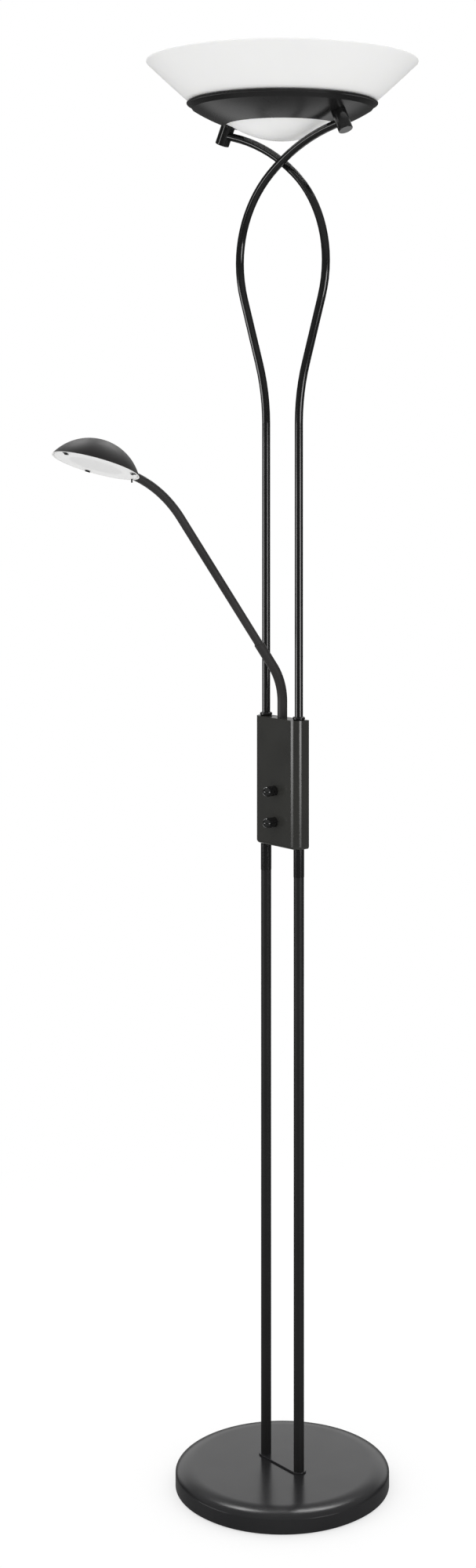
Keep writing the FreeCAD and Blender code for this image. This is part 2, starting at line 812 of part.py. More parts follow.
def make_box_front():
    """The front shell of the control box: rounded long edges, an open back, and bosses for its lid."""
    shell = new_body("box_front")
    plan = new_sketch(shell, "XY_Plane", "plan", "box_bottom")
    half = "box_width / 2"
    outline(plan, [
        ("-" + half, "box_rear"),
        ("-" + half, "-(box_front - box_edge_radius)", "box_edge_radius"),
        ("-(%s - box_edge_radius)" % half, "-box_front"),
        (half + " - box_edge_radius", "-box_front", "box_edge_radius"),
        (half, "-(box_front - box_edge_radius)"),
        (half, "box_rear"),
    ])
    pad(shell, plan, "box_height")
    round_edges(shell, "box_corner_radius", lambda edge: runs_back(edge, "box_width / 2", "box_bottom"))
    inner = "(box_width / 2 - box_wall)"
    inner_edge = "(box_edge_radius - box_wall)"
    cavity = new_sketch(shell, "XY_Plane", "cavity", "box_ceiling")
    outline(cavity, [
        ("-" + inner, "box_rear + over_cut"),
        ("-" + inner, "front_inside + " + inner_edge, inner_edge),
        ("-" + inner + " + " + inner_edge, "front_inside"),
        (inner + " - " + inner_edge, "front_inside", inner_edge),
        (inner, "front_inside + " + inner_edge),
        (inner, "box_rear + over_cut"),
    ])
    pocket(shell, cavity, "box_height - box_wall * 2", "Cavity")
    round_edges(shell, "box_corner_radius - box_wall",
                lambda edge: runs_back(edge, inner, "box_bottom + box_wall"))
    bosses = new_sketch(shell, "XZ_Plane", "bosses", "-(front_inside)")
    for x, z in boss_spots():
        circle(bosses, x, z, "box_boss_radius")
        circle(bosses, x, z, "box_screw_radius + thread_clearance")
    boss_pad = pad(shell, bosses, "lid_inside - front_inside", "BossPad")
    boss_pad.Reversed = True
    top_holes = new_sketch(shell, "XY_Plane", "top_holes", "box_top + over_cut")
    at_poles(top_holes, "upper_pole_radius + tube_clearance")
    circle(top_holes, "0", "0", "arm_radius + tube_clearance")
    pocket(shell, top_holes, "box_wall + over_cut * 2", "TopHoles")
    bottom_holes = new_sketch(shell, "XY_Plane", "bottom_holes", "box_bottom + box_wall + over_cut")
    at_poles(bottom_holes, "sleeve_radius + tube_clearance")
    pocket(shell, bottom_holes, "box_wall + over_cut * 2", "BottomHoles")
    knob_holes = new_sketch(shell, "XZ_Plane", "knob_holes", "box_front + over_cut")
    for height in ("knob_height_lower", "knob_height_upper"):
        circle(knob_holes, "0", "box_bottom + " + height, "bushing_radius + rest_clearance")
    pocket(shell, knob_holes, "box_wall + over_cut * 2", "KnobHoles")


def make_box_back():
    """The lid of the box, held by four screws from behind."""
    lid = new_body("box_back")
    shape = new_sketch(lid, "XZ_Plane", "shape", "-box_rear")
    half = "(box_width / 2 - box_wall - box_lid_gap)"
    corner = "(box_corner_radius - box_wall - box_lid_gap)"
    low = "(box_bottom + box_wall + box_lid_gap)"
    high = "(box_ceiling - box_lid_gap)"
    outline(shape, [
        ("-" + half, high),
        ("-" + half, low + " + " + corner, corner),
        ("-" + half + " + " + corner, low),
        (half + " - " + corner, low, corner),
        (half, low + " + " + corner),
        (half, high),
    ])
    for x, z in boss_spots():
        circle(shape, x, z, "box_screw_radius + hole_clearance")
    pad(lid, shape, "box_lid_thickness")
    screws = []
    for index, (x, z) in enumerate(boss_spots()):
        screws.append(screw("box_screw_%d" % index, "box_screw_radius", "box_screw_length",
                            "box_screw_head_radius", "box_screw_head_height",
                            at(x, "box_rear", z, "rotationx(90)")))
    group("box_screws", screws)


def make_dimmer(side, height):
    """A rotary dimmer behind the front wall, with its shaft, its nut and a round-nosed knob whose
    skirt covers the nut."""
    level = "box_bottom + " + height
    spun("dimmer_" + side, [
        ("shaft_depth + tube_clearance", "0"),
        ("shaft_depth + tube_clearance", "shaft_radius + sliding_clearance"),
        ("-box_wall - bushing_reach", "shaft_radius + sliding_clearance"),
        ("-box_wall - bushing_reach", "bushing_radius"),
        ("0", "bushing_radius"),
        ("0", "dimmer_radius"),
        ("dimmer_depth", "dimmer_radius"),
        ("dimmer_depth", "0"),
    ], y="front_inside", z=level, plane="YZ_Plane", axis="H_Axis")
    centre = "-box_front - knob_reach"
    skirt_floor = "(knob_reach - bushing_reach - knob_gap)"
    bore_end = skirt_floor + " - knob_bore_depth"
    shaft_end = "(%s + %s + rest_clearance)" % (centre, bore_end)
    add_node(cylinder("knob_shaft_" + side, "shaft_radius", "front_inside + shaft_depth - " + shaft_end,
                      at("0", "front_inside + shaft_depth", level, "rotationx(90)")), "knob_shaft_" + side)
    spun("knob_" + side, [
        ("-knob_radius", "0", "-knob_radius"),
        ("0", "knob_radius"),
        ("knob_reach - knob_gap", "knob_radius"),
        ("knob_reach - knob_gap", "knob_skirt_bore"),
        (skirt_floor, "knob_skirt_bore"),
        (skirt_floor, "shaft_radius + sliding_clearance"),
        (bore_end, "shaft_radius + sliding_clearance"),
        (bore_end, "0"),
    ], y=centre, z=level, plane="YZ_Plane", axis="H_Axis")
    return hex_nut("dimmer_nut_" + side, "dimmer_nut_radius", "bushing_radius + thread_clearance",
                   "dimmer_nut_height", at("0", "-box_front", level, "rotationx(90)"))


def make_dimmer_board():
    board = new_body("dimmer_board")
    shape = new_sketch(board, "XZ_Plane", "shape", "-(board_rear)")
    rectangle(shape, "-board_width / 2", "box_bottom + board_bottom",
              "board_width / 2", "box_bottom + board_bottom + board_height")
    pad(board, shape, "board_thickness")
    block = new_body("terminal_block")
    top = "box_bottom + board_bottom + board_height - terminal_drop"
    face = new_sketch(block, "XZ_Plane", "face", "-(board_rear + terminal_depth)")
    rectangle(face, "-terminal_width / 2", top + " - terminal_height", "terminal_width / 2", top)
    pad(block, face, "terminal_depth")
    ways = new_sketch(block, "XY_Plane", "wire_ways", top + " - terminal_height")
    for x in ("-terminal_width / 3", "0", "terminal_width / 3"):
        circle(ways, x, "board_rear + terminal_depth / 2", "terminal_depth / 4")
    way = pocket(block, ways, "terminal_height / 2")
    way.Reversed = True


def make_arm():
    """The rigid tube of the reading light rises from the box between the poles and leans forward."""
    tube = new_body("arm_tube")
    start = "(box_ceiling - arm_depth)"
    pipe(tube, "Bend", at(z=start), at(y=start, turn="rotationy(180)"), [
        ("box_top + arm_rise - " + start,),
        ("arm_bend_radius", "arm_bend_angle"),
        ("arm_slant",)],
        "arm_radius", "arm_radius - arm_wall", plane="YZ_Plane")
    clamp = new_body("arm_clamp")
    block = new_sketch(clamp, "XY_Plane", "block", "box_ceiling - clamp_height")
    rectangle(block, "-clamp_width / 2", "front_inside", "clamp_width / 2", "lid_inside - rest_clearance")
    circle(block, "0", "0", "arm_radius + sliding_clearance")
    pad(clamp, block, "clamp_height")
    side = new_sketch(clamp, "YZ_Plane", "screw_hole", "clamp_width / 2 + over_cut")
    circle(side, "0", "box_ceiling - clamp_height / 2", "clamp_screw_radius + thread_clearance")
    pocket(clamp, side, "clamp_width / 2 + over_cut - arm_radius", "ScrewHole")
    add_node(cylinder("clamp_screw", "clamp_screw_radius", "clamp_width / 2 - arm_radius - rest_clearance",
                      at("arm_radius + rest_clearance", "0", "box_ceiling - clamp_height / 2",
                         "rotationy(90)")), "clamp_screw")


def neck_placement(index):
    """Where a joint of the neck lies at rest, with the neck's own direction as local +Z."""
    if index <= STRAIGHT_LINKS:
        along = "(neck_first + %d * link_length)" % index
        return at("0", "neck_y - %s * cos(arm_lean)" % along, "neck_z + %s * sin(arm_lean)" % along,
                  "rotationx(arm_bend_angle)")
    lean = "(arm_lean - %d * link_bend)" % (index - STRAIGHT_LINKS)
    return at("0", "bend_y - neck_bend_radius * (sin(arm_lean) - sin(%s))" % lean,
              "bend_z + neck_bend_radius * (cos(%s) - cos(arm_lean))" % lean,
              "rotationx(90 - %s)" % lean)


def sector(name, radius, angle):
    """A piece of the neck's bend, from local +Z towards -Y."""
    item = solid("Torus", name, Radius1="neck_bend_radius", Radius2=radius, Angle3=angle)
    item.Angle1 = -180
    item.Angle2 = 180
    item.Placement = Placement(Vector(0, 0, 0), Rotation(Vector(1, 1, 1), 120))
    item.setExpression("Placement.Base.y", bound("-neck_bend_radius"))
    return item


def ball(name, placement):
    """The ball end of a link, on a stem that starts inside the barrel."""
    head = solid("Sphere", name + "_ball", placement, Radius="ball_radius")
    stem = cylinder(name + "_stem", "ball_stem", "ball_shoulder * 1.5",
                    placement + " * " + at(z="-ball_shoulder * 1.5"))
    return [head, stem]


def cup(name):
    """The cup end of a link: a chamfered rim below the middle of the ball that it holds."""
    rim = solid("Cone", name + "_rim", at(z="-cup_rim"), Radius1="neck_radius - cup_chamfer",
                Radius2="neck_radius", Height="cup_chamfer")
    wall = cylinder(name + "_cup", "neck_radius", "cup_rim - cup_chamfer", at(z="-(cup_rim - cup_chamfer)"))
    hollow = solid("Sphere", name + "_hollow", Radius="cavity")
    return [rim, wall], hollow


def make_straight_link(label, index):
    ends = ball(label, at(z="link_length"))
    rim, hollow = cup(label)
    barrel = cylinder(label + "_barrel", "neck_radius", "link_length - ball_shoulder")
    bore = cylinder(label + "_bore", "neck_bore", "link_length + ball_radius")
    outer = fuse(label + "_outer", rim + ends + [barrel])
    inner = fuse(label + "_inner", [hollow, bore])
    orient(add_node(cut(label, outer, inner), label), neck_placement(index))


def bend_end(angle):
    return at("0", "-neck_bend_radius * (1 - cos(%s))" % angle, "neck_bend_radius * sin(%s)" % angle,
              "rotationx(%s)" % angle)


def make_bent_link(label, index):
    ends = ball(label, bend_end("link_bend"))
    rim, hollow = cup(label)
    barrel = sector(label + "_barrel", "neck_radius",
                    "link_bend - atan2(ball_shoulder; neck_bend_radius) / 1deg")
    bore = sector(label + "_bore", "neck_bore", "link_bend + atan2(ball_radius; neck_bend_radius) / 1deg")
    outer = fuse(label + "_outer", rim + ends + [barrel])
    inner = fuse(label + "_inner", [hollow, bore])
    orient(add_node(cut(label, outer, inner), label), neck_placement(index))


def make_ferrule():
    """The ferrule closes the arm tube and carries the ball of the first neck joint."""
    ends = ball("ferrule", at(z="neck_first"))
    plug = cylinder("ferrule_plug_body", "arm_radius - arm_wall - sliding_clearance", "ferrule_plug",
                    at(z="-ferrule_plug"))
    lip = solid("Cone", "ferrule_lip_ring", Radius1="arm_radius", Radius2="neck_radius", Height="ferrule_lip")
    barrel = cylinder("ferrule_barrel", "neck_radius", "neck_first - ball_shoulder")
    bore = cylinder("ferrule_bore", "neck_bore", "ferrule_plug + neck_first + ball_radius",
                    at(z="-ferrule_plug"))
    outer = fuse("ferrule_outer", ends + [plug, lip, barrel])
    orient(add_node(cut("arm_ferrule", outer, bore), "arm_ferrule"),
           at("0", "neck_y", "neck_z", "rotationx(arm_bend_angle)"))


HEAD_FRAME = "placement(vector(0; head_y; head_z); rotationx(-head_lean))"


def make_head_socket():
    """The last piece of the neck ends in a saddle on the dome and a stud through its wall."""
    rim, hollow = cup("socket")
    barrel = sector("socket_barrel", "neck_radius", "link_bend")
    bore = sector("socket_bore", "neck_bore", "link_bend")
    end = bend_end("link_bend")
    saddle = cylinder("socket_saddle", "neck_radius", "head_entry", end)
    outer = fuse("socket_outer", rim + [barrel, saddle])
    body = orient(cut("socket_body", outer, fuse("socket_inner", [hollow, bore])),
                  neck_placement(STRAIGHT_LINKS + BENT_LINKS))
    dome = solid("Sphere", "socket_dome", HEAD_FRAME + " * " + at(z="-dome_drop"),
                 Radius="dome_curve + sliding_clearance")
    trimmed = cut("socket_trimmed", body, dome)
    start = HEAD_FRAME + " * " + at("0", "head_entry", "head_entry_height", "rotationx(90)")
    stud = cylinder("socket_stud", "head_stud_radius", "head_stud_length", start)
    neck = cylinder("socket_neck", "head_stud_radius", "neck_radius",
                    HEAD_FRAME + " * " + at("0", "head_entry", "head_entry_height", "rotationx(-90)"))
    way = cylinder("socket_way", "head_stud_radius / 2", "head_stud_length + neck_radius * 2",
                   HEAD_FRAME + " * " + at("0", "head_entry + neck_radius * 2", "head_entry_height",
                                           "rotationx(90)"))
    add_node(cut("head_socket", fuse("socket_whole", [trimmed, stud, neck]), way), "head_socket")


def make_head_dome():
    dome = new_body("head_dome")
    orient(dome, HEAD_FRAME)
    profile = new_sketch(dome, "XZ_Plane", "profile")
    outline(profile, [
        ("head_rim_radius", "0", "dome_curve"),
        ("0", "head_height"),
        ("0", "head_height - head_wall", "-dome_inside"),
        ("sqrt(dome_inside ^ 2 - dome_drop ^ 2)", "0"),
    ])
    revolve(dome, profile)
    entry = new_sketch(dome, "XZ_Plane", "entry", "-(head_entry - head_rim_radius / 4)")
    circle(entry, "0", "head_entry_height", "head_stud_radius + rest_clearance")
    pocket(dome, entry, "head_rim_radius / 2", "Entry")


def make_head_reflector():
    """A white pressed reflector: a flat lip over the lens and a cone up to the lamp."""
    reflector = new_body("head_reflector")
    orient(reflector, HEAD_FRAME)
    profile = new_sketch(reflector, "XZ_Plane", "profile")
    outline(profile, [
        ("reflector_lip_radius", "lens_top"),
        ("lip_radius", "lens_top"),
        ("lip_radius", "lip_top"),
        ("reflector_lip_radius", "lip_top"),
        ("reflector_throat_radius", "reflector_throat_height + reflector_sheet"),
        ("reflector_throat_radius", "reflector_throat_height"),
    ])
    revolve(reflector, profile)
    notch = new_sketch(reflector, "XY_Plane", "nut_notch", "lip_top + over_cut")
    rectangle(notch, "-strap_width / 2 - over_cut", "reflector_lip_radius",
              "strap_width / 2 + over_cut", "head_rim_radius")
    pocket(reflector, notch)


def make_head_lens():
    lens = new_body("head_lens")
    orient(lens, HEAD_FRAME)
    disc = new_sketch(lens, "XY_Plane", "disc", "lens_recess")
    circle(disc, "0", "0", "lens_radius")
    pad(lens, disc, "lens_thickness")


def make_head_clips():
    """Three sheet clips hook over the edge of the lens."""
    clips = []
    for index in range(3):
        name = "clip_%d" % index
        finger = solid("Box", name + "_finger",
                       at("-clip_width / 2", "lens_radius - clip_reach", "lens_recess - clip_sheet"),
                       Length="clip_width", Width="clip_reach + clip_sheet + rest_clearance",
                       Height="clip_sheet")
        leg = solid("Box", name + "_leg",
                    at("-clip_width / 2", "lens_radius + rest_clearance", "lens_recess - clip_sheet"),
                    Length="clip_width", Width="clip_sheet", Height="clip_height")
        turn = HEAD_FRAME + " * placement(vector(0; 0; 0); rotationz(%d))" % (index * 120 - 55)
        clips.append(orient(fuse(name, [finger, leg]), turn))
    group("head_clips", clips)


def make_head_bracket():
    """A bent strap carries the lamp holder from the stud of the neck."""
    strap = new_body("head_bracket")
    orient(strap, HEAD_FRAME)
    side = new_sketch(strap, "YZ_Plane", "side")
    tab_top = "head_entry_height + head_nut_radius + strap_sheet / 2"
    outline(side, [
        ("strap_tab", "lens_top + rest_clearance * 2"),
        ("strap_tab + strap_sheet", "lens_top + rest_clearance * 2"),
        ("strap_tab + strap_sheet", tab_top),
        ("strap_shelf_start", "strap_shelf_height + strap_sheet"),
        ("-strap_shelf_end", "strap_shelf_height + strap_sheet"),
        ("-strap_shelf_end", "strap_shelf_height"),
        ("strap_shelf_start - strap_sheet / 2", "strap_shelf_height"),
        ("strap_tab", tab_top + " - strap_sheet / 2"),
    ])
    pad(strap, side, "strap_width", middle=True)
    stud_hole = new_sketch(strap, "XZ_Plane", "stud_hole", "-(strap_tab - over_cut)")
    circle(stud_hole, "0", "head_entry_height", "head_stud_radius + rest_clearance")
    pocket(strap, stud_hole, "strap_sheet + over_cut * 2", "StudHole")
    screw_holes = new_sketch(strap, "XY_Plane", "screw_holes", "strap_shelf_height + strap_sheet + over_cut")
    for y in head_screw_spots():
        circle(screw_holes, "0", y, "head_screw_radius + rest_clearance")
    pocket(strap, screw_holes, "strap_sheet + over_cut * 2", "ScrewHoles")
    nuts = []
    outer_seat = "strap_tab + strap_sheet + head_spacer_height"
    for name, height, seat in (("inner", "head_nut_height", "strap_tab"),
                               ("outer", "head_spacer_height", outer_seat)):
        spot = HEAD_FRAME + " * " + at("0", seat, "head_entry_height", "rotationx(90)")
        nuts.append(hex_nut("head_nut_" + name, "head_nut_radius", "head_stud_radius + thread_clearance",
                            height, spot))
    group("head_nuts", nuts)


def head_screw_spots():
    middle = "head_holder_start + head_holder_length / 2"
    return [middle + " - head_screw_spacing / 2", middle + " + head_screw_spacing / 2"]


def make_head_lamp():
    holder = new_body("head_lampholder")
    orient(holder, HEAD_FRAME)
    plan = new_sketch(holder, "XY_Plane", "plan", "strap_shelf_height - head_holder_height")
    rectangle(plan, "-head_holder_width / 2", "head_holder_start",
              "head_holder_width / 2", "head_holder_start + head_holder_length")
    pad(holder, plan, "head_holder_height")
    bores = new_sketch(holder, "XY_Plane", "screw_bores", "strap_shelf_height")
    for y in head_screw_spots():
        circle(bores, "0", y, "head_screw_radius + thread_clearance")
    pocket(holder, bores, "head_screw_length", "ScrewBores")
    level = "head_lamp_height"
    tip = "head_lamp_radius - head_lamp_length"
    lamp = new_body("head_lamp")
    orient(lamp, HEAD_FRAME + " * " + at("0", "head_holder_start", level))
    profile = new_sketch(lamp, "YZ_Plane", "profile")
    outline(profile, [
        ("0", "0"),
        ("0", "head_lamp_radius"),
        (tip, "head_lamp_radius", "head_lamp_radius"),
        ("-head_lamp_length", "0"),
    ])
    revolve(lamp, profile, "H_Axis")
    screws = []
    for index, y in enumerate(head_screw_spots()):
        seat = HEAD_FRAME + " * " + at("0", y, "strap_shelf_height + strap_sheet", "rotationx(180)")
        screws.append(screw("head_screw_%d" % index, "head_screw_radius", "head_screw_length",
                            "head_screw_head_radius", "strap_sheet", seat))
    group("head_screws", screws)


FITTING_TURNS = {"right": 0, "left": 180}


def fitting_frame(side):
    """The dish's centre, with local -Z along the axis of a fitting."""
    return at(z="dish_centre", turn="rotationz(fitting_azimuth + %d) * rotationy(-fitting_tilt)"
              % FITTING_TURNS[side])


def drill_dish(body, radius, name):
    """Drills the two holes of the fittings, square to the dish."""
    for side, turn in FITTING_TURNS.items():
        hole = new_sketch(body, "XY_Plane", name + "_" + side,
                          offset=at(turn="rotationz(fitting_azimuth + %d) * rotationy(-fitting_tilt)" % turn))
        circle(hole, "0", "0", radius)
        pocket(body, hole, name="Drill" + side.title())


def make_fitting(side):
    """A round fitting under the dish: a cross bore takes the pole's end, a threaded bore the
    nipple, and the wires pass from one to the other."""
    fitting = new_body("fitting_" + side)
    orient(fitting, fitting_frame(side))
    plan = new_sketch(fitting, "XY_Plane", "plan", "-saucer_curve_radius - rest_clearance - fitting_length")
    circle(plan, "0", "0", "fitting_radius")
    pad(fitting, plan, "fitting_length")
    round_edges(fitting, "fitting_edge", lambda edge: edge.Curve.TypeId == "Part::GeomCircle"
                and edge.Vertexes[0].Z < number("-saucer_curve_radius - fitting_length / 2"))
    thread = new_sketch(fitting, "XY_Plane", "thread", "-saucer_curve_radius")
    circle(thread, "0", "0", "nipple_radius + thread_clearance")
    pocket(fitting, thread, "nipple_thread + rest_clearance * 2", "Thread")
    way = new_sketch(fitting, "XY_Plane", "wire_way", "-saucer_curve_radius")
    circle(way, "0", "0", "nipple_bore")
    pocket(fitting, way, "fitting_drop", "WireWay")
    turn = "rotationy(fitting_tilt) * rotationz(return_azimuth - fitting_azimuth) * rotationy(last_lean)"
    lift = " * " + at(z="rest_clearance")
    cross = new_sketch(fitting, "XY_Plane", "cross_bore", offset=at(z="-joint_distance", turn=turn) + lift)
    circle(cross, "0", "0", "upper_pole_radius + sliding_clearance")
    pocket(fitting, cross, "fitting_radius * 2", "CrossBore")


def make_dish_stack():
    """The nipples draw saucer, rubber rings, glass and lamp bridge together, one on each side."""
    nipples = []
    rings = []
    nuts = []
    bottom = "-saucer_curve_radius - nipple_thread"
    length = "(nipple_thread + nipple_top)"
    ring = "rubber_thickness - rest_clearance * 2"
    for side in FITTING_TURNS:
        frame = fitting_frame(side) + " * "
        rod = cylinder("nipple_rod_" + side, "nipple_radius", length)
        way = cylinder("nipple_way_" + side, "nipple_bore", length)
        nipples.append(orient(cut("nipple_" + side, rod, way), frame + at(z=bottom)))
        for name, level in (("lower", "-dish_inside"), ("upper", "-glass_inside")):
            rings.append(washer("rubber_%s_%s" % (name, side), "rubber_radius",
                                "nipple_radius + hole_clearance", ring,
                                frame + at(z=level + " + rest_clearance * 2")))
        nuts.append(hex_nut("nipple_nut_" + side, "nipple_nut_radius", "nipple_radius + thread_clearance",
                            "nipple_nut_height", frame + at(z="-foot_level + bridge_sheet")))
    group("fitting_nipples", nipples)
    group("rubber_rings", rings)
    group("nipple_nuts", nuts)


def make_saucer():
    """A pressed dish with a round hole and a turned-up lip that ends in a bead."""
    share = " * dish_inside / saucer_curve_radius"
    hole_edge = "-sqrt(saucer_curve_radius ^ 2 - saucer_hole_radius ^ 2)"
    saucer = spun("saucer", [
        ("saucer_hole_radius", hole_edge, "saucer_curve_radius"),
        ("saucer_dish_radius", "dish_edge"),
        ("saucer_lip_radius", "bead_level"),
        ("saucer_lip_radius - saucer_sheet", "bead_level + saucer_sheet / 2"),
        ("saucer_dish_radius" + share, "dish_edge" + share, "-dish_inside"),
        ("saucer_hole_radius" + share, hole_edge + share),
    ], z="dish_centre")
    bead = new_sketch(saucer, "XZ_Plane", "bead")
    circle(bead, "saucer_lip_radius", "bead_level", "saucer_bead_radius")
    revolve(saucer, bead, name="Bead")
    drill_dish(saucer, "nipple_radius + rest_clearance", "drill")


def make_bowl_glass():
    """The glass bowl: a bulge that shows through the saucer's hole, a seat parallel to the saucer,
    and a flare out to the rim."""
    seat = "glass_inside / glass_outside"
    bulge = "bulge_inside / bowl_bulge_curve"
    bowl = spun("bowl_glass", [
        ("0", "glass_bottom", "bowl_bulge_curve"),
        ("bowl_bulge_radius", "bulge_centre - sqrt(bowl_bulge_curve ^ 2 - bowl_bulge_radius ^ 2)"),
        ("bowl_seat_radius", "glass_seat", "glass_outside"),
        ("bowl_shoulder_radius", "glass_shoulder", "bowl_flare_curve"),
        ("bowl_rim_radius", "glass_rim"),
        ("bowl_rim_radius - bowl_wall / sin(flare_slope)", "glass_rim", "-(bowl_flare_curve - bowl_wall)"),
        ("bowl_shoulder_radius * " + seat, "glass_shoulder * " + seat, "-glass_inside"),
        ("bowl_seat_radius * " + seat, "glass_seat * " + seat),
        ("bowl_bulge_radius * " + bulge,
         "bulge_centre - sqrt(bowl_bulge_curve ^ 2 - bowl_bulge_radius ^ 2) * " + bulge, "-bulge_inside"),
        ("0", "glass_bottom + bowl_wall"),
    ], z="dish_centre")
    rim = number("glass_rim")
    round_edges(bowl, "bowl_rim_edge",
                lambda edge: all(abs(vertex.Z - rim) < 1e-6 for vertex in edge.Vertexes))
    drill_dish(bowl, "nipple_radius + hole_clearance", "drill")


def make_lamp_bridge():
    """A bent strap inside the bowl, from one nipple to the other, with feet square to them."""
    bridge = new_body("lamp_bridge")
    orient(bridge, at(z="dish_centre", turn="rotationz(fitting_azimuth)"))

    def foot(along, up):
        x = "(foot_level - %s) * sin(fitting_tilt) + (%s) * cos(fitting_tilt)" % (up, along)
        z = "-(foot_level - %s) * cos(fitting_tilt) + (%s) * sin(fitting_tilt)" % (up, along)
        return x, z

    lower = [
        ("bridge_span", "bridge_level"),
        foot("-bridge_foot", "0"),
        foot("bridge_foot", "0"),
    ]
    upper = [
        foot("bridge_foot", "bridge_sheet"),
        foot("-bridge_foot + bridge_sheet / 2", "bridge_sheet"),
        ("bridge_span + bridge_sheet / 2", "bridge_level + bridge_sheet"),
    ]
    right = lower + upper
    left = [("-(%s)" % x, z) for x, z in reversed(right)]
    side = new_sketch(bridge, "XZ_Plane", "side")
    outline(side, right + left)
    pad(bridge, side, "bridge_width", middle=True)
    drill = "nipple_radius + hole_clearance"
    for name, turn in FITTING_TURNS.items():
        hole = new_sketch(bridge, "XY_Plane", "drill_" + name,
                          offset=at(turn="rotationz(%d) * rotationy(-fitting_tilt)" % turn))
        circle(hole, "0", "0", drill)
        pocket(bridge, hole, name="Drill" + name.title())


def make_lamp():
    """Two ceramic holders face each other on the bridge and hold a straight lamp."""
    holders = new_body("lampholders")
    orient(holders, at(z="dish_centre", turn="rotationz(fitting_azimuth)"))
    base = new_sketch(holders, "XY_Plane", "base", "bridge_level + bridge_sheet")
    outer = "lamp_half_length + holder_length"
    rectangle(base, "lamp_half_length", "-holder_width / 2", outer, "holder_width / 2")
    rectangle(base, "-(%s)" % outer, "-holder_width / 2", "-lamp_half_length", "holder_width / 2")
    pad(holders, base, "holder_height")
    recess = new_sketch(holders, "YZ_Plane", "recess")
    circle(recess, "0", "lamp_level", "lamp_cap_radius + hole_clearance")
    recesses = pocket(holders, recess, "(lamp_half_length + holder_recess) * 2", "Recesses")
    recesses.Midplane = True
    reach = "lamp_half_length + holder_recess - rest_clearance"
    tube = reach + " - lamp_cap_length"
    lamp = new_body("linear_lamp")
    orient(lamp, at(z="dish_centre + lamp_level", turn="rotationz(fitting_azimuth)"))
    profile = new_sketch(lamp, "XZ_Plane", "profile")
    outline(profile, [
        ("-(%s)" % reach, "0"),
        (reach, "0"),
        (reach, "lamp_cap_radius"),
        (tube, "lamp_cap_radius"),
        (tube, "lamp_radius"),
        ("-(%s)" % tube, "lamp_radius"),
        ("-(%s)" % tube, "lamp_cap_radius"),
        ("-(%s)" % reach, "lamp_cap_radius"),
    ])
    revolve(lamp, profile, "H_Axis")


def check_and_write():
    """Makes sure that every object is sound, then writes one file for each piece."""
    doc.recompute()
    broken = [item.Name for item in doc.Objects if {"Invalid", "Error"} & set(item.State)]
    broken += [item.Label for item in nodes if item.Shape.isNull() or not item.Shape.isValid()]
    if broken:
        raise RuntimeError("these objects failed: " + ", ".join(broken))
    os.makedirs("parts", exist_ok=True)
    for item in nodes:
        item.Shape.exportStep("parts/%s.step" % item.Label)
    print(len(nodes), "pieces written")


make_base_cover()
make_base_weight()
make_base_plate()
make_base_pad()
make_base_fasteners()
make_cord_inlet()
make_foot_plate()
make_pole_studs()
for pole_side, pole_place, pole_turn in (("left", "-pole_x", 0), ("right", "pole_x", 180)):
    make_lower_pole(pole_side, pole_place)
    make_sleeve(pole_side, pole_place)
    make_upper_pole(pole_side, pole_place, pole_turn)
make_collars()
make_box_front()
make_box_back()
make_dimmer_board()
group("dimmer_nuts", [make_dimmer("upper", "knob_height_upper"), make_dimmer("lower", "knob_height_lower")])
make_arm()
make_ferrule()
for link in range(STRAIGHT_LINKS):
    make_straight_link("neck_link_%d" % (link + 1), link)
for link in range(STRAIGHT_LINKS, STRAIGHT_LINKS + BENT_LINKS):
    make_bent_link("neck_link_%d" % (link + 1), link)
make_head_socket()
make_head_dome()
make_head_reflector()
make_head_lens()
make_head_clips()
make_head_bracket()
make_head_lamp()
make_saucer()
make_fitting("left")
make_fitting("right")
make_dish_stack()
make_bowl_glass()
make_lamp_bridge()
make_lamp()
check_and_write()
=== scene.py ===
import math

import bpy
from mathutils import Matrix, Vector


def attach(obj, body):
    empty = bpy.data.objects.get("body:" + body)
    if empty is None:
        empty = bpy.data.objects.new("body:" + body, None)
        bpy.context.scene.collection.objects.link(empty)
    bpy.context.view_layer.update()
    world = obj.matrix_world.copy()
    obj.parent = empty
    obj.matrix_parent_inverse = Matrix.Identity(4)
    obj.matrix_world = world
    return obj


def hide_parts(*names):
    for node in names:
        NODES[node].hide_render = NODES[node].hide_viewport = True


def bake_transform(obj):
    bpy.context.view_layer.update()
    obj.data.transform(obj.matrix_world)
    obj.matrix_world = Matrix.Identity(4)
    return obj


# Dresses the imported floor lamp. The lamp's sizes are millimetres, as in its drawing, and become
# metres where a mesh or the camera is made. The studio's sizes are metres.
MM = 0.001
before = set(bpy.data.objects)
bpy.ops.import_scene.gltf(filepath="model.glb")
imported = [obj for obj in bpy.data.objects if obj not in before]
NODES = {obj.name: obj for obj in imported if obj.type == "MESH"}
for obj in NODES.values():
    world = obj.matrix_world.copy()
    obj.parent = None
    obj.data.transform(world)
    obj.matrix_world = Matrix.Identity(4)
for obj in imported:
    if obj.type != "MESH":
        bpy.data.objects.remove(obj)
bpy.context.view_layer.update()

# Sizes repeated from the lamp's drawing, the places to four decimals: first the dish, and the
# straight lamp in the bowl
DISH_CENTRE = 1920.3349
FITTING_AZIMUTH = 7.1676
FITTING_TILT = 26.2567
BRIDGE_LEVEL = -172.0
LAMP_LEVEL = -158.5
LAMP_TUBE = 53.93
HOLDER_MIDDLE = 66.03

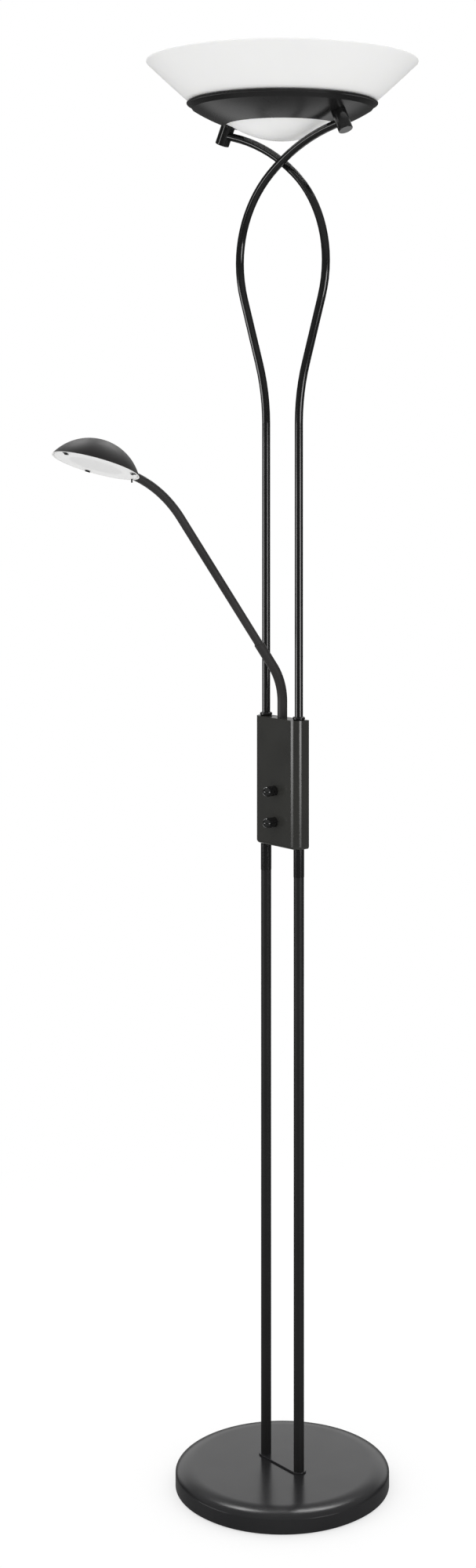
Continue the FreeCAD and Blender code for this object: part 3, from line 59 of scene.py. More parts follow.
# The arm and the flexible neck
ARM_RADIUS = 6.25
ARM_WALL = 1.3
NECK_START = Vector((0, -37.9618, 1064.9318))
NECK_LEAN = 52.5
NECK_RADIUS = 5.25
NECK_STRAIGHT = 203.0
NECK_BEND_RADIUS = 160.0
NECK_BEND_ANGLE = 33.7
NECK_BEND_LENGTH = NECK_BEND_RADIUS * math.radians(NECK_BEND_ANGLE)
NECK_FIRST_JOINT = 12.0
STRAIGHT_LINKS = 6
BENT_LINKS = 2

# The reading head
HEAD_CENTRE = Vector((0, -288.5189, 1290.7459))
HEAD_LEAN = NECK_LEAN - NECK_BEND_ANGLE
HEAD_RIM_RADIUS = 53.5
HEAD_HEIGHT = 32.0
# The dome's sphere: its radius outside, its centre below the rim, and a radius within its wall
DOME_CURVE = (HEAD_RIM_RADIUS ** 2 + HEAD_HEIGHT ** 2) / (2 * HEAD_HEIGHT)
DOME_DROP = DOME_CURVE - HEAD_HEIGHT
DOME_MIDDLE = 60.1
# The enamel reaches this far up the rim, and the painted shade in the lens's middle fades over this width at
# the reflector's lip
RIM_EDGE = 0.35
SHADE_EDGE = 1.5
LENS_MIDDLE = 1.4
REFLECTOR_LIP = 33.0

# The base and the back of the control box
BASE_RADIUS = 135
BASE_HEIGHT = 27
BASE_WALL = 1.2
BASE_FOOT = 2
INLET_LEVEL = 11
BASE_SCREW_CIRCLE = 100
BOX_BACK = 8.2
BOX_SCREW_SIDE = 20
BOX_SCREW_LEVELS = (816, 962)

# The camera, fitted to the photograph
PHOTO_WIDTH = 607
PHOTO_HEIGHT = 2000
FOCAL_PIXELS = 2885.0
PRINCIPAL_POINT = (360.0, 554.2)
CAMERA_PLACE = Vector((2192.4, -1839.7, 1328.0))
CAMERA_AZIMUTH = 50.0


def head_frame():
    """The middle of the head's rim, with local +Z up through the dome and +Y towards the neck."""
    return Matrix.Translation(HEAD_CENTRE) @ Matrix.Rotation(math.radians(-HEAD_LEAN), 4, "X")


def dish_frame():
    """The centre of the dish's curve, turned towards the right fitting."""
    return Matrix.Translation((0, 0, DISH_CENTRE)) @ Matrix.Rotation(math.radians(FITTING_AZIMUTH), 4, "Z")


def fitting_frame(side):
    """The dish's centre, with local -Z along the axis of the right fitting (0) or the left one (1)."""
    half_turn = Matrix.Rotation(math.pi * side, 4, "Z")
    return dish_frame() @ half_turn @ Matrix.Rotation(math.radians(-FITTING_TILT), 4, "Y")


def make_camera():
    data = bpy.data.cameras.new("photo_camera")
    data.sensor_width = 36.0
    data.lens = FOCAL_PIXELS / PHOTO_HEIGHT * data.sensor_width
    data.shift_x = (PHOTO_WIDTH / 2 - PRINCIPAL_POINT[0]) / PHOTO_HEIGHT
    data.shift_y = (PRINCIPAL_POINT[1] - PHOTO_HEIGHT / 2) / PHOTO_HEIGHT
    data.clip_start = 0.05
    data.clip_end = 50
    camera = bpy.data.objects.new("photo_camera", data)
    camera.location = CAMERA_PLACE * MM
    camera.rotation_euler = (math.radians(90), 0, math.radians(CAMERA_AZIMUTH))
    bpy.context.scene.collection.objects.link(camera)
    bpy.context.scene.camera = camera


# Nodes of materials
NOISE_LOW = 0.3
NOISE_HIGH = 0.7
GLASS_IOR = 1.47
ENAMEL_WHITE = (0.86, 0.86, 0.85)
TARNISH = 0.8


def new_material(name):
    material = bpy.data.materials.new(name)
    material.use_nodes = True
    tree = material.node_tree
    return material, tree, tree.nodes["Principled BSDF"]


def feed(tree, node, **inputs):
    """Links the inputs that are given a socket and sets the others. An input goes by its name, with
    _ for a space, or by _ and its number."""
    for key, value in inputs.items():
        socket = node.inputs[int(key[1:])] if key[1:].isdigit() else node.inputs[key.replace("_", " ")]
        if isinstance(value, bpy.types.NodeSocket):
            tree.links.new(value, socket)
        else:
            socket.default_value = value


def add(tree, kind, settings=None, **inputs):
    """Adds a shader node with its settings and its inputs."""
    node = tree.nodes.new("ShaderNode" + kind)
    for key, value in (settings or {}).items():
        setattr(node, key, value)
    feed(tree, node, **inputs)
    return node


def compute(tree, kind, operation, *values):
    """The number that a Math or VectorMath node makes of its inputs, in their order."""
    inputs = {"_%d" % place: value for place, value in enumerate(values)}
    return add(tree, kind, {"operation": operation}, **inputs).outputs["Value"]


def object_point(tree):
    return add(tree, "TexCoord").outputs["Object"]


def noise(tree, point, scale, detail, roughness=0.5):
    made = add(tree, "TexNoise", Vector=point, Scale=scale, Detail=detail, Roughness=roughness)
    return made.outputs["Fac"]


def between(tree, value, start, end, low=0.0, high=1.0):
    """Maps the stretch from start to end onto a range and holds it beyond both."""
    made = add(tree, "MapRange", Value=value, From_Min=start, From_Max=end, To_Min=low, To_Max=high)
    return made.outputs["Result"]


def spread(tree, value, low=0.0, high=1.0):
    """Maps the stretch that a noise mostly stays in onto a range."""
    return between(tree, value, NOISE_LOW, NOISE_HIGH, low, high)


def blend_colours(tree, factor, first, second):
    """Mixes two colours, which are sockets or have four numbers each."""
    return add(tree, "Mix", {"data_type": "RGBA"}, Factor=factor, _6=first, _7=second).outputs[2]


def shade(tree, factor, dark, light):
    return blend_colours(tree, factor, (*dark, 1), (*light, 1))


def bumped(tree, height, strength, depth):
    """The normal of a surface raised by a height, with its depth in millimetres."""
    return add(tree, "Bump", Height=height, Strength=strength, Distance=depth * MM).outputs["Normal"]


def lacquer(name, dark, light, rough, shine=0.5):
    """Sprayed lacquer on steel: faint clouds, rubbed patches and a shallow orange peel."""
    material, tree, shader = new_material(name)
    point = object_point(tree)
    clouds = spread(tree, noise(tree, point, scale=14, detail=3))
    rubbed = noise(tree, point, scale=25, detail=1)
    peel = noise(tree, point, scale=60, detail=1)
    feed(tree, shader, Base_Color=shade(tree, clouds, dark, light),
         Roughness=spread(tree, rubbed, rough - 0.02, rough + 0.02),
         Specular_IOR_Level=shine,
         Normal=bumped(tree, peel, strength=0.01, depth=0.1))
    return material


def dome_lacquer(name):
    """Lacquer outside the reading head's dome, and white enamel inside it and below its rim."""
    material = lacquer(name, (0.019, 0.018, 0.018), (0.024, 0.023, 0.023), 0.50, shine=0.25)
    tree = material.node_tree
    shader = tree.nodes["Principled BSDF"]
    head = head_frame()
    own = NODES["head_dome"].matrix_world.inverted()
    point = object_point(tree)
    centre = own @ (head @ Vector((0, 0, -DOME_DROP)) * MM)
    reach = compute(tree, "VectorMath", "DISTANCE", point, centre)
    inside = compute(tree, "Math", "LESS_THAN", reach, DOME_MIDDLE * MM)
    axis = (own.to_3x3() @ (head.to_3x3() @ Vector((0, 0, 1)))).normalized()
    rim = (own @ (head @ Vector((0, 0, RIM_EDGE)) * MM)).dot(axis)
    height = compute(tree, "VectorMath", "DOT_PRODUCT", point, axis)
    below = compute(tree, "Math", "LESS_THAN", height, rim)
    white = compute(tree, "Math", "MAXIMUM", inside, below)
    black = shader.inputs["Base Color"].links[0].from_socket
    feed(tree, shader, Base_Color=blend_colours(tree, white, black, (*ENAMEL_WHITE, 1)))
    return material


def metal(name, colour, rough):
    """Plated or drawn metal with the grain of its making and a little tarnish."""
    material, tree, shader = new_material(name)
    grain = noise(tree, object_point(tree), scale=900, detail=3)
    dull = tuple(part * TARNISH for part in colour)
    feed(tree, shader, Base_Color=shade(tree, spread(tree, grain), dull, colour),
         Roughness=spread(tree, grain, rough - 0.06, rough + 0.08),
         Metallic=1.0,
         Normal=bumped(tree, grain, strength=0.15, depth=0.03))
    return material


def moulded(name, dark, light, rough, grain=700, bump=0.15, shine=0.5):
    """Moulded plastic, rubber, ceramic or board with its fine surface grain."""
    material, tree, shader = new_material(name)
    point = object_point(tree)
    clouds = spread(tree, noise(tree, point, scale=45, detail=4))
    worn = noise(tree, point, scale=150, detail=3)
    feed(tree, shader, Base_Color=shade(tree, clouds, dark, light),
         Roughness=spread(tree, worn, rough - 0.05, rough + 0.06),
         Specular_IOR_Level=shine,
         Normal=bumped(tree, noise(tree, point, grain, detail=3), bump, depth=0.08))
    return material


def cast_iron(name):
    """The weight's rough skin, as it comes from the sand."""
    material, tree, shader = new_material(name)
    sand = noise(tree, object_point(tree), scale=380, detail=5, roughness=0.7)
    skin = shade(tree, spread(tree, sand), (0.05, 0.047, 0.045), (0.13, 0.12, 0.115))
    feed(tree, shader, Base_Color=skin,
         Roughness=spread(tree, sand, 0.6, 0.85),
         Metallic=0.4,
         Normal=bumped(tree, sand, strength=0.6, depth=0.4))
    return material


def opal_glass(name):
    """Opal glass with an etched face: it scatters the light inside its wall."""
    material, tree, shader = new_material(name)
    point = object_point(tree)
    clouds = spread(tree, noise(tree, point, scale=9, detail=3))
    etched = noise(tree, point, scale=120, detail=3)
    feed(tree, shader, Base_Color=shade(tree, clouds, (0.875, 0.875, 0.87), (0.895, 0.895, 0.89)),
         Roughness=spread(tree, etched, 0.34, 0.46),
         Subsurface_Weight=0.35,
         Subsurface_Radius=(1.0, 1.0, 0.9),
         Subsurface_Scale=0.004,
         Normal=bumped(tree, noise(tree, point, scale=1800, detail=2), strength=0.08, depth=0.03))
    return material


def quartz(name):
    """The clear glass of the lamps, with a faint ripple."""
    material, tree, shader = new_material(name)
    ripple = noise(tree, object_point(tree), scale=240, detail=2)
    feed(tree, shader, Base_Color=(0.98, 0.98, 0.98, 1),
         Roughness=spread(tree, ripple, 0.02, 0.05),
         Transmission_Weight=1.0,
         IOR=GLASS_IOR,
         Normal=bumped(tree, ripple, strength=0.1, depth=0.05))
    return material


def frosted_glass(name):
    """The lens of the reading light: frosted, lighter and less clear outside the reflector's mouth, with
    painted shade inside it for the reflector's recess.
    """
    material, tree, shader = new_material(name)
    grit = noise(tree, object_point(tree), scale=2200, detail=3)
    own = NODES["head_lens"].matrix_world.inverted()
    middle = own @ (head_frame() @ Vector((0, 0, LENS_MIDDLE)) * MM)
    reach = compute(tree, "VectorMath", "DISTANCE", object_point(tree), middle)
    # Painted shade: inside the reflector's mouth the lens is darker, standing for the shaded recess behind
    # it; outside the mouth it is also less clear
    outside_painted_shade = between(tree, reach, (REFLECTOR_LIP - SHADE_EDGE) * MM, REFLECTOR_LIP * MM)
    feed(tree, shader, Base_Color=shade(tree, outside_painted_shade, (0.93, 0.93, 0.925), (0.96, 0.96, 0.955)),
         Transmission_Weight=between(tree, outside_painted_shade, 0, 1, 0.12, 0.04),
         Roughness=spread(tree, grit, 0.3, 0.42),
         IOR=GLASS_IOR,
         Normal=bumped(tree, grit, strength=0.2, depth=0.03))
    return material


MATERIALS = {
    "pole_black": lacquer("pole_black", (0.011, 0.011, 0.011), (0.014, 0.014, 0.014), 0.40, shine=0.35),
    "saucer_black": lacquer("saucer_black", (0.010, 0.010, 0.010), (0.013, 0.013, 0.013), 0.27, shine=0.55),
    "base_black": lacquer("base_black", (0.015, 0.015, 0.016), (0.019, 0.019, 0.020), 0.22),
    "gloss_black": lacquer("gloss_black", (0.006, 0.006, 0.006), (0.009, 0.009, 0.009), 0.12, shine=0.7),
    "panel_black": lacquer("panel_black", (0.028, 0.028, 0.026), (0.033, 0.033, 0.030), 0.14, shine=0.7),
    "back_black": lacquer("back_black", (0.020, 0.020, 0.019), (0.025, 0.025, 0.024), 0.42),
    "neck_black": lacquer("neck_black", (0.028, 0.026, 0.026), (0.038, 0.036, 0.036), 0.45, shine=0.4),
    "knob_black": lacquer("knob_black", (0.006, 0.006, 0.006), (0.008, 0.008, 0.008), 0.06, shine=1.0),
    "dome_black": dome_lacquer("dome_black"),
    "clip_black": metal("clip_black", (0.035, 0.035, 0.038), 0.4),
    "tungsten": metal("tungsten", (0.42, 0.42, 0.44), 0.3),
    "zinc": metal("zinc", (0.58, 0.58, 0.60), 0.35),
    "dark_steel": metal("dark_steel", (0.10, 0.10, 0.105), 0.4),
    "brass": metal("brass", (0.72, 0.53, 0.26), 0.28),
    "cast_iron": cast_iron("cast_iron"),
    "opal": opal_glass("opal"),
    "frosted": frosted_glass("frosted"),
    "tube_glass": quartz("tube_glass"),
    "black_plastic": moulded("black_plastic", (0.016, 0.016, 0.016), (0.022, 0.022, 0.022), 0.42),
    "rubber": moulded("rubber", (0.018, 0.018, 0.018), (0.028, 0.027, 0.026), 0.75, grain=900, bump=0.3,
                      shine=0.3),
    "sleeving": moulded("sleeving", (0.66, 0.65, 0.60), (0.78, 0.77, 0.72), 0.7, grain=1600, bump=0.3),
    "white_enamel": moulded("white_enamel", (0.80, 0.80, 0.79), (0.84, 0.84, 0.83), 0.35, grain=500,
                            bump=0.06),
    "ceramic": moulded("ceramic", (0.74, 0.72, 0.68), (0.80, 0.79, 0.75), 0.55, grain=1100, bump=0.2),
    "circuit_board": moulded("circuit_board", (0.03, 0.13, 0.05), (0.05, 0.18, 0.07), 0.4, grain=500,
                             bump=0.1),
}

# The material of each node, apart from the neck's links
NODE_MATERIALS = {
    "arm_clamp": "zinc", "arm_ferrule": "neck_black", "arm_tube": "neck_black", "base_cover": "base_black",
    "base_pad": "rubber", "base_plate": "zinc", "base_screws": "zinc", "base_weight": "cast_iron",
    "bowl_glass": "opal", "box_back": "back_black", "box_front": "panel_black", "box_screws": "dark_steel",
    "clamp_screw": "zinc", "cord_inlet": "rubber", "dimmer_board": "circuit_board",
    "dimmer_lower": "black_plastic", "dimmer_nuts": "gloss_black", "dimmer_upper": "black_plastic",
    "fitting_left": "gloss_black", "fitting_nipples": "brass", "fitting_right": "gloss_black",
    "head_bracket": "zinc", "head_clips": "dark_steel", "head_dome": "dome_black", "head_lamp": "tube_glass",
    "head_lampholder": "ceramic", "head_lens": "frosted", "head_nuts": "zinc",
    "head_reflector": "white_enamel", "head_screws": "zinc", "head_socket": "neck_black",
    "knob_lower": "knob_black", "knob_shaft_lower": "zinc", "knob_shaft_upper": "zinc",
    "knob_upper": "knob_black", "lamp_bridge": "white_enamel", "lampholders": "ceramic",
    "linear_lamp": "tube_glass", "lower_pole_left": "pole_black", "lower_pole_right": "pole_black",
    "nipple_nuts": "zinc", "pole_collars": "gloss_black", "pole_foot_plate": "base_black",
    "pole_sleeve_left": "gloss_black", "pole_sleeve_right": "gloss_black", "pole_studs": "zinc",
    "rubber_rings": "rubber", "saucer": "saucer_black", "stud_nuts": "zinc",
    "terminal_block": "black_plastic", "upper_pole_left": "gloss_black", "upper_pole_right": "gloss_black",
}


def paint_nodes():
    for name, node in NODES.items():
        node.data.materials.clear()
        node.data.materials.append(MATERIALS[NODE_MATERIALS.get(name, "neck_black")])


# Meshes
SHARP_ANGLE = 35.0
RIBBON_END = 0.75
# The radius at which a turned profile stops, so that no point of it lies on the axis
AXIS = 0.05


def new_piece(name, points, faces, material, matrix):
    """Makes a mesh object from points in millimetres, with smooth faces and crisp edges."""
    mesh = bpy.data.meshes.new(name)
    mesh.from_pydata([(matrix @ Vector(point)) * MM for point in points], [], faces)
    mesh.validate()
    for polygon in mesh.polygons:
        polygon.use_smooth = True
    mesh.set_sharp_from_angle(angle=math.radians(SHARP_ANGLE))
    mesh.materials.append(MATERIALS[material])
    piece = bpy.data.objects.new(name, mesh)
    bpy.context.scene.collection.objects.link(piece)
    return piece


def put(piece, body, slot, *nodes):
    """Ties a piece to its body and hides the nodes that it stands for. The slot is not used."""
    if nodes:
        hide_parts(*nodes)
    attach(piece, body)


def ring_points(radii, level):
    """A closed outline round local Z, from its radii at even turns."""
    turns = [2 * math.pi * step / len(radii) for step in range(len(radii))]
    return [(radius * math.cos(turn), radius * math.sin(turn), level) for radius, turn in zip(radii, turns)]


def join_rings(rings, closed=True):
    """Faces between rings of points of one length, in order, and back to the first when closed."""
    width = len(rings[0])
    points = [point for ring in rings for point in ring]
    faces = []
    last = len(rings) if closed else len(rings) - 1
    for row in range(last):
        following = (row + 1) % len(rings)
        for column in range(width):
            across = (column + 1) % width
            faces.append((row * width + column, row * width + across,
                          following * width + across, following * width + column))
    return points, faces


def join_capped(rings):
    """Faces between rings of points, with a face at each end."""
    points, faces = join_rings(rings, closed=False)
    width = len(rings[0])
    last = len(points) - width
    faces.append(tuple(range(width))[::-1])
    faces.append(tuple(range(last, last + width)))
    return points, faces


def arc_points(start, finish, radius, clockwise, steps):
    """Points of the shorter arc between two points, without the last one."""
    middle = (start + finish) / 2
    chord = finish - start
    rise = math.sqrt(max(radius ** 2 - (chord.length / 2) ** 2, 0))
    side = Vector((chord.y, -chord.x)) if clockwise else Vector((-chord.y, chord.x))
    centre = middle + side.normalized() * rise
    begin = math.atan2(start.y - centre.y, start.x - centre.x)
    swing = math.atan2(finish.y - centre.y, finish.x - centre.x) - begin
    swing = (swing + math.pi) % (2 * math.pi) - math.pi
    turns = [begin + swing * step / steps for step in range(steps)]
    return [centre + Vector((math.cos(turn), math.sin(turn))) * radius for turn in turns]


def trace(corners):
    """Follows a profile. A corner is (x, z), or (x, z, radius, steps) with an arc to the next one,
    clockwise when the radius is negative."""
    places = [Vector(corner[:2]) for corner in corners]
    line = []
    for index, corner in enumerate(corners):
        if len(corner) == 2:
            line.append(places[index])
        else:
            following = places[(index + 1) % len(corners)]
            line += arc_points(places[index], following, abs(corner[2]), corner[2] < 0, corner[3])
    return line


def turned(name, corners, material, matrix, segments):
    """Turns a closed profile about local Z."""
    points, faces = join_rings([ring_points([spot.x] * segments, spot.y) for spot in trace(corners)])
    return new_piece(name, points, faces, material, matrix)


def mirrored(profile):
    """A profile that ends on one side of the middle, and its mirror image after it."""
    return profile + [(radius, -level) for radius, level in profile[::-1]]


def levels(name, rows, material, matrix):
    """Joins closed outlines, each given as a level and its radii round the turn."""
    points, faces = join_rings([ring_points(radii, level) for level, radii in rows])
    return new_piece(name, points, faces, material, matrix)


def swept(name, path, radius, material, matrix, sides=10):
    """A round wire along a path of points."""
    path = [Vector(point) for point in path]
    rings = []
    across = None
    for index, point in enumerate(path):
        ahead = path[min(index + 1, len(path) - 1)] - path[max(index - 1, 0)]
        ahead.normalize()
        if across is None:
            across = ahead.orthogonal().normalized()
        across = (across - ahead * across.dot(ahead)).normalized()
        other = ahead.cross(across)
        turns = [2 * math.pi * side / sides for side in range(sides)]
        spokes = [across * math.cos(turn) + other * math.sin(turn) for turn in turns]
        rings.append([point + spoke * radius for spoke in spokes])
    points, faces = join_capped(rings)
    return new_piece(name, points, faces, material, matrix)


def smooth_path(corners, steps=6):
    """A curve through the corners of a bent wire."""
    corners = [Vector(corner) for corner in corners]
    padded = [corners[0] * 2 - corners[1]] + corners + [corners[-1] * 2 - corners[-2]]
    path = []
    for before, start, end, after in zip(padded, padded[1:], padded[2:], padded[3:]):
        for step in range(steps):
            t = step / steps
            path.append((start * 2 + (end - before) * t + (before * 2 - start * 5 + end * 4 - after) * t ** 2
                         + (start * 3 - before - end * 3 + after) * t ** 3) / 2)
    return path + [corners[-1]]


def helix(radius, pitch, start, end, steps=12):
    """A coiled wire's path along local Z, with a number of steps to a turn."""
    count = round((end - start) / pitch * steps)
    return [(radius * math.cos(2 * math.pi * step / steps), radius * math.sin(2 * math.pi * step / steps),
             start + (end - start) * step / count) for step in range(count + 1)]


def ribbon(name, line, sheet, half_width, material, matrix):
    """A bent strip of sheet, narrower at its ends: its line runs in local YZ, its width along X."""
    line = [Vector((0, y, z)) for y, z in line]
    rings = []
    for index, point in enumerate(line):
        ahead = (line[min(index + 1, len(line) - 1)] - line[max(index - 1, 0)]).normalized()
        side = Vector((0, -ahead.z, ahead.y)) * sheet / 2
        half = Vector((half_width * (RIBBON_END if index in (0, len(line) - 1) else 1), 0, 0))
        rings.append([point + side + half, point + side - half, point - side - half, point - side + half])
    points, faces = join_capped(rings)
    return new_piece(name, points, faces, material, matrix)


# The flexible neck
COIL_PITCH = 1.9
COIL_DEPTH = 0.2
COIL_ROUNDNESS = 0.7
COIL_STEPS = 6
COIL_SIDES = 32
COIL_BORE = 4.2
BORE_STEPS = 8
COIL_START = 1.2
# The last stretch winds up to this far short of the dome, and runs into it in this many rows
DOME_APPROACH = 1
DOME_ROWS = 16
DOME_HALVINGS = 30
# How deep the ferrule sits in the arm's tube, its play there, and how far it stands out
FERRULE_DEPTH = 12
FERRULE_PLAY = 0.05
FERRULE_LIP = 1.6


def neck_axis(along):
    """A point of the neck's axis and its lean, for a length from the end of the arm tube."""
    lean = math.radians(NECK_LEAN)
    straight = min(along, NECK_STRAIGHT)
    point = NECK_START + Vector((0, -math.cos(lean), math.sin(lean))) * straight
    turn = min(max(along - NECK_STRAIGHT, 0) / NECK_BEND_RADIUS, math.radians(NECK_BEND_ANGLE))
    end = lean - turn
    bent = Vector((0, math.sin(end) - math.sin(lean), math.cos(end) - math.cos(lean)))
    point += bent * NECK_BEND_RADIUS
    beyond = max(along - NECK_STRAIGHT - NECK_BEND_LENGTH, 0)
    return point + Vector((0, -math.cos(end), math.sin(end))) * beyond, end


def neck_point(along, angle, radius):
    point, lean = neck_axis(along)
    up = Vector((0, math.sin(lean), math.cos(lean)))
    return point + Vector((1, 0, 0)) * radius * math.cos(angle) + up * radius * math.sin(angle)


def coil_radius(along, angle):
    """The wound strip's rounded ridges climb round the neck."""
    phase = along / COIL_PITCH - angle / (2 * math.pi)
    return NECK_RADIUS - COIL_DEPTH * (1 - abs(math.sin(math.pi * phase)) ** COIL_ROUNDNESS)


def dome_reach(angle):
    """How far along the neck its surface meets the dome."""
    centre = head_frame() @ Vector((0, 0, -DOME_DROP))
    low = NECK_STRAIGHT
    high = low + NECK_BEND_LENGTH + NECK_RADIUS * 2
    for _ in range(DOME_HALVINGS):
        middle = (low + high) / 2
        if (neck_point(middle, angle, NECK_RADIUS) - centre).length > DOME_CURVE:
            low = middle
        else:
            high = middle
    return low


def neck_joints():
    """The joints' places along the neck."""
    spacing = (NECK_STRAIGHT - NECK_FIRST_JOINT) / STRAIGHT_LINKS
    bend = NECK_BEND_LENGTH / (BENT_LINKS + 1)
    straight = [NECK_FIRST_JOINT + spacing * index for index in range(STRAIGHT_LINKS + 1)]
    return straight + [NECK_STRAIGHT + bend * (index + 1) for index in range(BENT_LINKS)]


def coil_piece(name, start, end, ends_on_dome):
    """One stretch of the wound neck: its ridged outside and the wall of its bore."""
    angles = [2 * math.pi * side / COIL_SIDES for side in range(COIL_SIDES)]
    steps = round((end - start) / COIL_PITCH * COIL_STEPS)
    run_in = []
    if ends_on_dome:
        reaches = [dome_reach(angle) for angle in angles]
        end = min(reaches) - DOME_APPROACH
        run_in = [[end + (reach - end) * step / DOME_ROWS for reach in reaches]
                  for step in range(1, DOME_ROWS + 1)]
    rows = [[start + (end - start) * step / steps] * COIL_SIDES for step in range(steps + 1)] + run_in
    outside = [[neck_point(along, angle, coil_radius(along, angle)) for along, angle in zip(row, angles)]
               for row in rows]
    chosen = rows[::BORE_STEPS] + ([rows[-1]] if (len(rows) - 1) % BORE_STEPS else [])
    inside = [[neck_point(along, angle, COIL_BORE) for along, angle in zip(row, angles)] for row in chosen]
    points, faces = join_rings(outside + inside[::-1])
    return new_piece(name, points, faces, "neck_black", Matrix.Identity(4))


def make_neck():
    """A stretch of winding over each joint, and the ferrule at the end of the arm."""
    joints = neck_joints()
    edges = [COIL_START] + [(near + far) / 2 for near, far in zip(joints, joints[1:])]
    edges.append(NECK_STRAIGHT + NECK_BEND_LENGTH)
    bodies = ["root"] + ["neck_link_%d" % index for index in range(1, len(joints))] + ["head"]
    for index, joint in enumerate(joints):
        last = index == len(joints) - 1
        start = edges[index]
        end = edges[index + 1]
        piece = coil_piece("neck_coil_%d" % (index + 1), start, end, last)
        bend_start = max(start, 2 * joint - end)
        bend_end = min(end, 2 * joint - start)
        neck_axis(bend_start)[0] * MM
        neck_axis(bend_end)[0] * MM
        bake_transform(piece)
        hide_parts("head_socket" if last else bodies[index + 1])
    shank = ARM_RADIUS - ARM_WALL - FERRULE_PLAY
    place = Matrix.Translation(NECK_START) @ Matrix.Rotation(math.radians(90 - NECK_LEAN), 4, "X")
    ferrule = turned("neck_ferrule", [
        (COIL_BORE, -FERRULE_DEPTH), (shank, -FERRULE_DEPTH), (shank, 0), (ARM_RADIUS - 0.15, 0),
        (ARM_RADIUS, 0.15), (ARM_RADIUS, 0.5), (ARM_RADIUS - 0.7, FERRULE_LIP - 0.2),
        (NECK_RADIUS - COIL_DEPTH, FERRULE_LIP), (COIL_BORE, FERRULE_LIP),
    ], "neck_black", place, segments=64)
    put(ferrule, "root", "satin_black_steel", "arm_ferrule")


# Threads, nuts and screws
HEXAGON_STEP = 5
NUT_CHAMFER = 0.5
NUT_CORNER = 0.9
BORE_CHAMFER = 0.4
THREAD_STEPS = 6
THREAD_SIDES = 24
THREAD_DEPTH = 0.45
THREAD_RUN_OUT = 0.3
SCREW_SIDES = 48
SCREW_HALF_PITCH = 0.5
SCREW_ROOT = 0.8
CROWN_RINGS = 14
# Shares of a screw head's radius: its underside, the edge of its crown, and its cross recess
UNDERSIDE = 0.96
CROWN_EDGE = 0.97
RECESS_HALF = 0.13
RECESS_REACH = 0.6
# Shares of its height: its side, the crown's foot, and the recess
HEAD_SIDE = 0.3
CROWN_FOOT = 0.55
RECESS_DEPTH = 0.7


def hexagon(radius, limit):
    """Radii of a hexagon round the turn, held inside a circle."""
    flat = radius * math.cos(math.radians(30))
    radii = []
    for degrees in range(0, 360, HEXAGON_STEP):
        off = math.radians((degrees + 30) % 60 - 30)
        radii.append(min(flat / math.cos(off), limit))
    return radii


def hex_nut(name, radius, bore, height, material, matrix):
    """A hexagon nut with its corners chamfered on both faces."""
    full = hexagon(radius, radius)
    cut = hexagon(radius, radius * NUT_CORNER)
    hole = [bore] * len(full)
    mouth = [bore + BORE_CHAMFER] * len(full)
    return levels(name, [(BORE_CHAMFER, hole), (0, mouth), (0, cut), (NUT_CHAMFER, full),
                         (height - NUT_CHAMFER, full), (height, cut), (height, mouth),
                         (height - BORE_CHAMFER, hole)], material, matrix)


def threaded_tube(name, radius, bore, start, end, pitch, material, matrix):
    """A tube with a rolled thread outside, which fades at both ends."""
    steps = round((end - start) / pitch * THREAD_STEPS)
    rows = []
    for step in range(steps + 1):
        level = start + (end - start) * step / steps
        fade = min(1.0, (level - start) / pitch, (end - level) / pitch)
        radii = []
        for side in range(THREAD_SIDES):
            phase = (level / pitch - side / THREAD_SIDES) % 1
            radii.append(radius - THREAD_DEPTH * abs(2 * phase - 1) * fade - THREAD_RUN_OUT * (1 - fade))
        rows.append((level, radii))
    rows += [(end, [bore] * THREAD_SIDES), (start, [bore] * THREAD_SIDES)]
    return levels(name, rows, material, matrix)


def crown_ring(size, head_radius, head_height):
    """A ring of a screw head's rounded top, sunk where it crosses the recess."""
    dome = math.sqrt(max(1 - (size / head_radius) ** 2, 0))
    level = head_height * (CROWN_FOOT + (1 - CROWN_FOOT) * dome)
    ring = []
    for x, y, _ in ring_points([size] * SCREW_SIDES, level):
        sunk = min(abs(x), abs(y)) < head_radius * RECESS_HALF and size < head_radius * RECESS_REACH
        ring.append((x, y, level - (head_height * RECESS_DEPTH if sunk else 0)))
    return ring


def cross_screw(name, material, matrix, radius, length, head_radius, head_height):
    """A pan-head screw with a cross recess. Its head sits on local z = 0 and faces +Z."""
    rings = []
    for step in range(int(length / SCREW_HALF_PITCH), 0, -1):
        size = radius if step % 2 else radius * SCREW_ROOT
        rings.append(ring_points([size] * SCREW_SIDES, -step * SCREW_HALF_PITCH))
    for size, level in ((radius, 0), (head_radius * UNDERSIDE, 0), (head_radius, head_height * HEAD_SIDE)):
        rings.append(ring_points([size] * SCREW_SIDES, level))
    for row in range(CROWN_RINGS, 0, -1):
        rings.append(crown_ring(head_radius * CROWN_EDGE * row / CROWN_RINGS, head_radius, head_height))
    points, faces = join_capped(rings)
    return new_piece(name, points, faces, material, matrix)


# The reading head's clips and lamp, in the head's own frame
CLIP_COUNT = 3
CLIP_TURN = -55
CLIP_LINE = ((45.2, -0.5), (45.9, -1.3), (46.9, -1.4), (47.9, -0.6), (49.2, -0.1), (50.5, -0.1),
             (51.1, 0.4), (51.2, 2.2))
CLIP_SHEET = 0.5
CLIP_HALF_WIDTH = 3.0
TAB_TURN = -8
TAB_LINE = ((0, 51.2, 2.4), (0, 51.2, 0), (0, 51.6, -2), (0, 52.4, -3.8))
TAB_RADIUS = 1.0
BULB_PLACE = (0, 4, 9.5)
BULB_RADIUS = 3.5
BULB_BORE = 2.8
STEM_RADIUS = 2.3
STEM_BORE = 1.9
BULB_COIL = 0.8
BULB_WIRE = 0.14
LEAD_SIDE = 1.6


